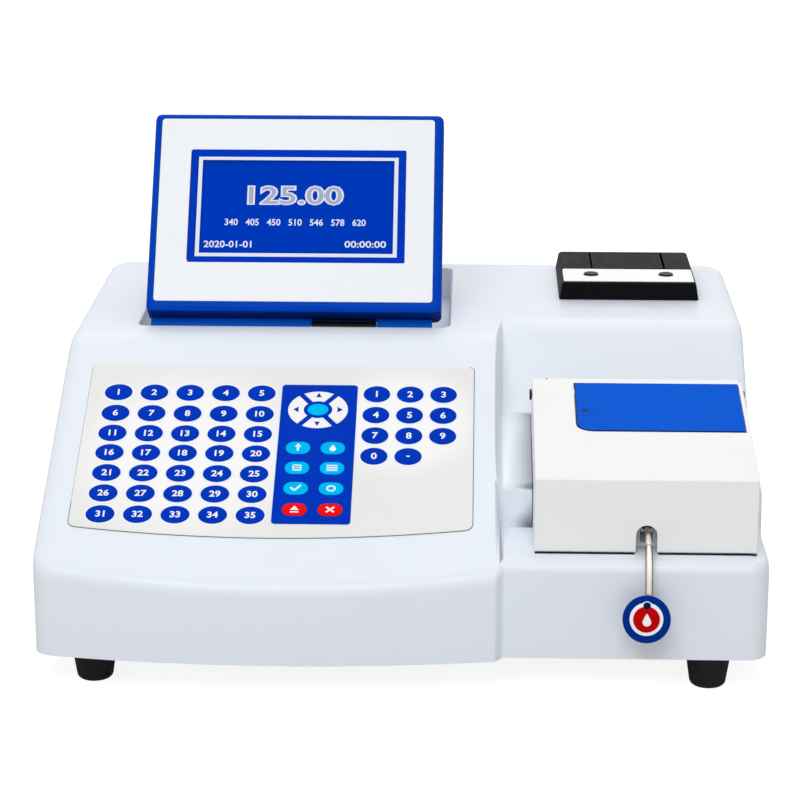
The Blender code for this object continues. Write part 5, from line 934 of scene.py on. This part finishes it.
hub = soft["aspirate_rod"]
carve(hub, slab(0.120, 0.170, -0.230, -0.1528, 0.020, 0.120))
hub.data.materials.clear()
hub.data.materials.append(bracket_grey)
# Painted shade: a black sleeve stands for the dark hole where the rod enters its hub.
rod([(-0.1490, 0.0935), (-0.1530, 0.0932), (-0.1550, 0.0925)], 0.0030, 4, "lever_hole_painted_shade", painted_shade_black)
rod([(-0.1510, 0.0918), (-0.1580, 0.0921), (-0.1640, 0.0914), (-0.1690, 0.0903),
     (-0.1738, 0.0883), (-0.1778, 0.0861)], 0.00168, 5, "lever_rod", rod_bright)
rod([(-0.1758, 0.0872), (-0.1780, 0.0860), (-0.1805, 0.0840), (-0.1825, 0.0818),
     (-0.1840, 0.0793), (-0.1854, 0.0765), (-0.1866, 0.0732), (-0.1875, 0.0693),
     (-0.1883, 0.0648), (-0.1890, 0.0601)], 0.00216, 5, "lever_sleeve", rod_steel)
rod([(-0.17565, 0.08728), (-0.17595, 0.08712)], 0.00224, 5, "lever_sleeve_edge", alloy_black)
dot = oval(0, 0, 0.0007, 0.0007, -0.0002, 0.00010, 12)
settle(dot, "lever_mark", "lever", navy_plastic, leaning((ROD_X, -0.1842, 0.0831), 53.3),
       smooth=0)

DISC = leaning((0.1416, -0.1942, 0.0500), 80)
white = oval(-0.0002, 0.0004, 0.0193, 0.0193, DISC_FACE, 0.00215, 48, 0.0002)
settle(white, "lever_white_ring", "lever", key_print, DISC)
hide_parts("aspirate_label")
bump = oval(0, 0.0078, 0.0060, 0.0060, DISC_FACE, 0.00222, 32, 0.0002)
settle(bump, "lever_stud_ring", "lever", key_print, DISC)
red = oval(-0.0002, 0.0003, 0.0154, 0.0152, DISC_FACE, 0.00245, 48, 0.0003)
settle(red, "lever_red_disc", "lever", label_red, DISC)
stud = oval(0.0, 0.0083, 0.0043, 0.0041, DISC_FACE, 0.0030, 24, 0.0007)
settle(stud, "lever_stud", "lever", navy_plastic, DISC)
sign = drop(0, -0.0011, 0.0050, 0.0072, 0.0022, 0.00256)
settle(sign, "lever_drop_sign", "lever", key_print, DISC, smooth=0)
print("lever dressed")

# %% [markdown]
# ## The sample cover and the printer
# A black strip under the cover's front is a painted shadow for the gap there. The blue door has
# a dark stud in its dimple, where a finger finds the edge, and a dark line along its left and
# front edges, a painted shade for its proud edge. On the printer a small lamp sits beside the
# lid, and black strips in the two seams of the lid are painted shadow. Two small dark marks sit
# at the cover's rear corners, over its hinge.

# %% Painted gap shadows, door stud and printer lamp
COVER = leaning((0.0, -0.165, 0.124), 10.9)
# Painted shadow: a black strip under the cover's front stands in for the shade in the gap over the
# shelf.
GAP_SHADOW_Y, GAP_SHADOW_Z, GAP_SHADOW_DEEP, GAP_SHADOW_THICK = -0.1649, 0.07922, 0.0020, 0.0003
gap_shadow_strips = [slab(x0, x1, GAP_SHADOW_Y - GAP_SHADOW_DEEP / 2, GAP_SHADOW_Y + GAP_SHADOW_DEEP / 2,
              GAP_SHADOW_Z - GAP_SHADOW_THICK / 2, GAP_SHADOW_Z + GAP_SHADOW_THICK / 2)
         for x0, x1 in ((0.0778, 0.1355), (0.1493, 0.2062))]
settle(bond(gap_shadow_strips), "cover_gap_painted_shadow", "cover", seat_black, smooth=0)
stud = oval(0.1089, 0.0843, 0.0046, 0.0046, -0.0006, 0.00012, 24, 0.0001)
settle(stud, "door_stud", "door", seat_black, COVER)
# Painted shade: a dark navy line along the door's left and front edges, for the shade of its proud
# edge.
door_shade_points = [(0.1036, 0.1208), (0.1036, 0.0690), (0.1040, 0.0655), (0.1056, 0.0625),
              (0.1086, 0.0604), (0.1125, 0.0597), (0.1580, 0.0597), (0.2030, 0.0597)]
door_shade_line = tube([(u, v, 0.0001) for u, v in door_shade_points], 0.00042, 2)
settle(door_shade_line, "door_edge_painted_shade", "door", navy_plastic, COVER)
little_lamp = oval(0.1078, 0.1361, 0.0016, 0.0016, 0.1760, 0.17712, 16)
settle(little_lamp, "printer_lamp", "base", seat_black, smooth=0)
marks = [oval(0.0865, 0.1271, 0.0014, 0.0010, -0.0004, 0.00008, 12),
         slab(0.2049, 0.2053, 0.1254, 0.1274, -0.0004, 0.00008)]
settle(bond(marks), "cover_rear_marks", "cover", navy_plastic, COVER, smooth=0)
# Painted shadow: black strips in the lid's two seams stand in for the shade in the gaps.
seam_shadows = [slab(x0, x1, 0.1303, 0.1752, 0.1762, 0.17706)
         for x0, x1 in ((0.1200, 0.1209), (0.1690, 0.1702))]
settle(bond(seam_shadows), "printer_seam_painted_shadow", "base", painted_shade_black, smooth=0)

# %% [markdown]
# ## The back and the underside
# The photograph doesn't show the back, so it gets what such a panel needs and no more. A pan
# head is a cylinder with a rounded rim and a cross carved into it. One head is modelled for
# each size and then copied. BACK turns a flat piece to face the rear, UNDER to face down.

# %% Screw heads
BACK = (Matrix.Translation((0.0, 0.1857, 0.0)) @ Matrix.Rotation(math.radians(180), 4, "Z")
        @ Matrix.Rotation(math.radians(90), 4, "X"))
UNDER = Matrix.Translation((0.0, 0.0, 0.0210)) @ Matrix.Rotation(math.radians(180), 4, "Y")


def pan_head(radius, low, high):
    """A rounded head with a cross cut 0.7 mm deep."""
    head = oval(0, 0, 2 * radius, 2 * radius, low, high, 24, (high - low) * 0.4)
    arm, half = radius * 0.62, radius * 0.14
    cut = (high - 0.0007, high + 0.001)
    return carve(head, slab(-arm, arm, -half, half, *cut), slab(-half, half, -arm, arm, *cut))


def screws(name, places, radius, low, high, place):
    """The same head at every place, as one piece of the base."""
    made = twins(pan_head(radius, low, high), places)
    return settle(bond(made), name, "base", pin_steel, place, smooth=35)


FAN_U, FAN_V, FAN_REACH = -0.090, 0.071, 0.0205
INLET_U, INLET_V, INLET_REACH = 0.118, 0.068, 0.0158
panel_spots = [(u, v) for u in (-0.144, -0.048, 0.048, 0.144) for v in (0.042, 0.100)]
fan_spots = [(FAN_U + s * FAN_REACH, FAN_V + r * FAN_REACH) for s in (-1, 1) for r in (-1, 1)]
inlet_spots = [(INLET_U + s * INLET_REACH, INLET_V) for s in (-1, 1)]
pan_spots = [(u, v) for u in (0.188, -0.188) for v in (-0.110, 0.0, 0.110)]
pan_spots += [(0.060, 0.180), (-0.060, 0.180)]
screws("rear_panel_screws", panel_spots, 0.0029, -0.0004, 0.0015, BACK)
screws("fan_screws", fan_spots, 0.0024, -0.0004, 0.0013, BACK)
screws("inlet_screws", inlet_spots, 0.0014, 0.0014, 0.0026, BACK)
screws("pan_screws", pan_spots, 0.0029, -0.0004, 0.0014, UNDER)
print(len(panel_spots + fan_spots + inlet_spots + pan_spots), "screws")

# %% [markdown]
# The rear socket for data has nine pins in two rows between two six-sided posts.

# %% Pins and posts
PORT_U, PORT_V, PIN_STEP = 0.015, 0.068, 0.0027
pin_spots = [(PORT_U - 0.0054 + PIN_STEP * k, PORT_V + 0.0014) for k in range(5)]
pin_spots += [(PORT_U - 0.00405 + PIN_STEP * k, PORT_V - 0.0014) for k in range(4)]
pins = [oval(u, v, 0.0010, 0.0010, -0.0030, 0.0046, 10) for u, v in pin_spots]
settle(bond(pins), "port_pins", "base", pin_steel, BACK, smooth=40)
posts = []
for u in (PORT_U - 0.0125, PORT_U + 0.0125):
    post = oval(u, PORT_V, 0.0050, 0.0050, -0.0004, 0.0048, 6, 0.0003)
    posts.append(carve(post, oval(u, PORT_V, 0.0022, 0.0022, 0.0020, 0.0060, 12)))
settle(bond(posts), "port_posts", "base", pin_steel, BACK, smooth=0)
print(len(pin_spots), "pins")

# %% [markdown]
# ## Studio
# The photograph is taken with a long lens from a little above. One large soft lamp stands
# in front, high up, a second one hangs above, and a third one behind draws the bright line
# along every upper edge. The pale room fills the rest. The floor and the backdrop look plain
# white to the camera, to gloss and to glass, and still keep a faint shadow.

# %% Camera
camera_data = bpy.data.cameras.new("camera")
camera_data.lens = 117
camera_data.sensor_width = 36
camera_data.clip_start = 0.01
camera = bpy.data.objects.new("camera", camera_data)
bpy.context.scene.collection.objects.link(camera)
camera.location = (0.0437, -1.5856, 0.5950)
camera.rotation_euler = (math.radians(73.382), 0.0, math.radians(1.773))
bpy.context.scene.camera = camera
print("camera at", tuple(camera.location))

# %% [markdown]
# Sizes are in metres and strengths in watts. To a surface the room is dimmer than it looks,
# so that the lamps still model the white plastic.

# %% Lamps and room
ROOM_DIM, ROOM_BRIGHT = 0.42, 1.0


def lamp(name, spot, aim, size, watts):
    data = bpy.data.lights.new(name, "AREA")
    data.shape = "RECTANGLE"
    data.size, data.size_y = size
    data.energy = watts
    obj = bpy.data.objects.new(name, data)
    bpy.context.scene.collection.objects.link(obj)
    obj.location = spot
    obj.rotation_euler = (Vector(aim) - Vector(spot)).to_track_quat("-Z", "Y").to_euler()


lamp("key_softbox", (-0.25, -1.55, 1.85), (0.0, 0.0, 0.10), (1.5, 1.0), 23.5)
lamp("top_softbox", (0.0, 0.40, 1.65), (0.0, 0.05, 0.15), (1.6, 1.2), 5.0)
lamp("rear_softbox", (0.0, 1.45, 1.20), (0.0, 0.0, 0.165), (1.8, 0.6), 5.0)
world = bpy.data.worlds.new("room")
bpy.context.scene.world = world
world.use_nodes = True
wn, wl = world.node_tree.nodes, world.node_tree.links
path = wn.new("ShaderNodeLightPath")
seen = wn.new("ShaderNodeMath")
seen.operation = "MAXIMUM"
wl.new(path.outputs["Is Camera Ray"], seen.inputs[0])
wl.new(path.outputs["Is Transmission Ray"], seen.inputs[1])
mirrored = wn.new("ShaderNodeMath")
mirrored.operation = "MAXIMUM"
wl.new(seen.outputs[0], mirrored.inputs[0])
wl.new(path.outputs["Is Glossy Ray"], mirrored.inputs[1])
level = wn.new("ShaderNodeMapRange")
level.inputs["To Min"].default_value = ROOM_DIM
level.inputs["To Max"].default_value = ROOM_BRIGHT
wl.new(mirrored.outputs[0], level.inputs["Value"])
wl.new(level.outputs["Result"], wn["Background"].inputs["Strength"])
wn["Background"].inputs["Color"].default_value = (1.0, 1.0, 1.0, 1.0)

# %% [markdown]
# The camera sees a floor that glows almost white, with a weak diffuse part that keeps the
# shadow. Every other ray meets plain light grey paper, which throws light back up.

# %% Floor
clear()
bpy.ops.mesh.primitive_plane_add(size=8, location=(0, 0, 0))
floor = bpy.context.object
floor.name = "floor"
floor_white = bpy.data.materials.new("floor_white")
fn, fl = nodes_of(floor_white)
paper = fn["Principled BSDF"]
paper.inputs["Base Color"].default_value = (0.8, 0.8, 0.8, 1)
paper.inputs["Roughness"].default_value = 0.9
paper.inputs["Specular IOR Level"].default_value = 0.0
faint = fn.new("ShaderNodeBsdfDiffuse")
faint.inputs["Color"].default_value = (0.35, 0.35, 0.35, 1)
glow = fn.new("ShaderNodeEmission")
glow.inputs["Color"].default_value = (1, 1, 1, 1)
glow.inputs["Strength"].default_value = 0.86
both = fn.new("ShaderNodeAddShader")
fl.new(faint.outputs[0], both.inputs[0])
fl.new(glow.outputs[0], both.inputs[1])
fpath = fn.new("ShaderNodeLightPath")
choice = fn.new("ShaderNodeMixShader")
fl.new(fpath.outputs["Is Camera Ray"], choice.inputs["Fac"])
fl.new(paper.outputs[0], choice.inputs[1])
fl.new(both.outputs[0], choice.inputs[2])
fl.new(choice.outputs[0], fn["Material Output"].inputs["Surface"])
floor.data.materials.append(floor_white)

# %% [markdown]

# %% View transform
bpy.context.scene.view_settings.view_transform = "Standard"
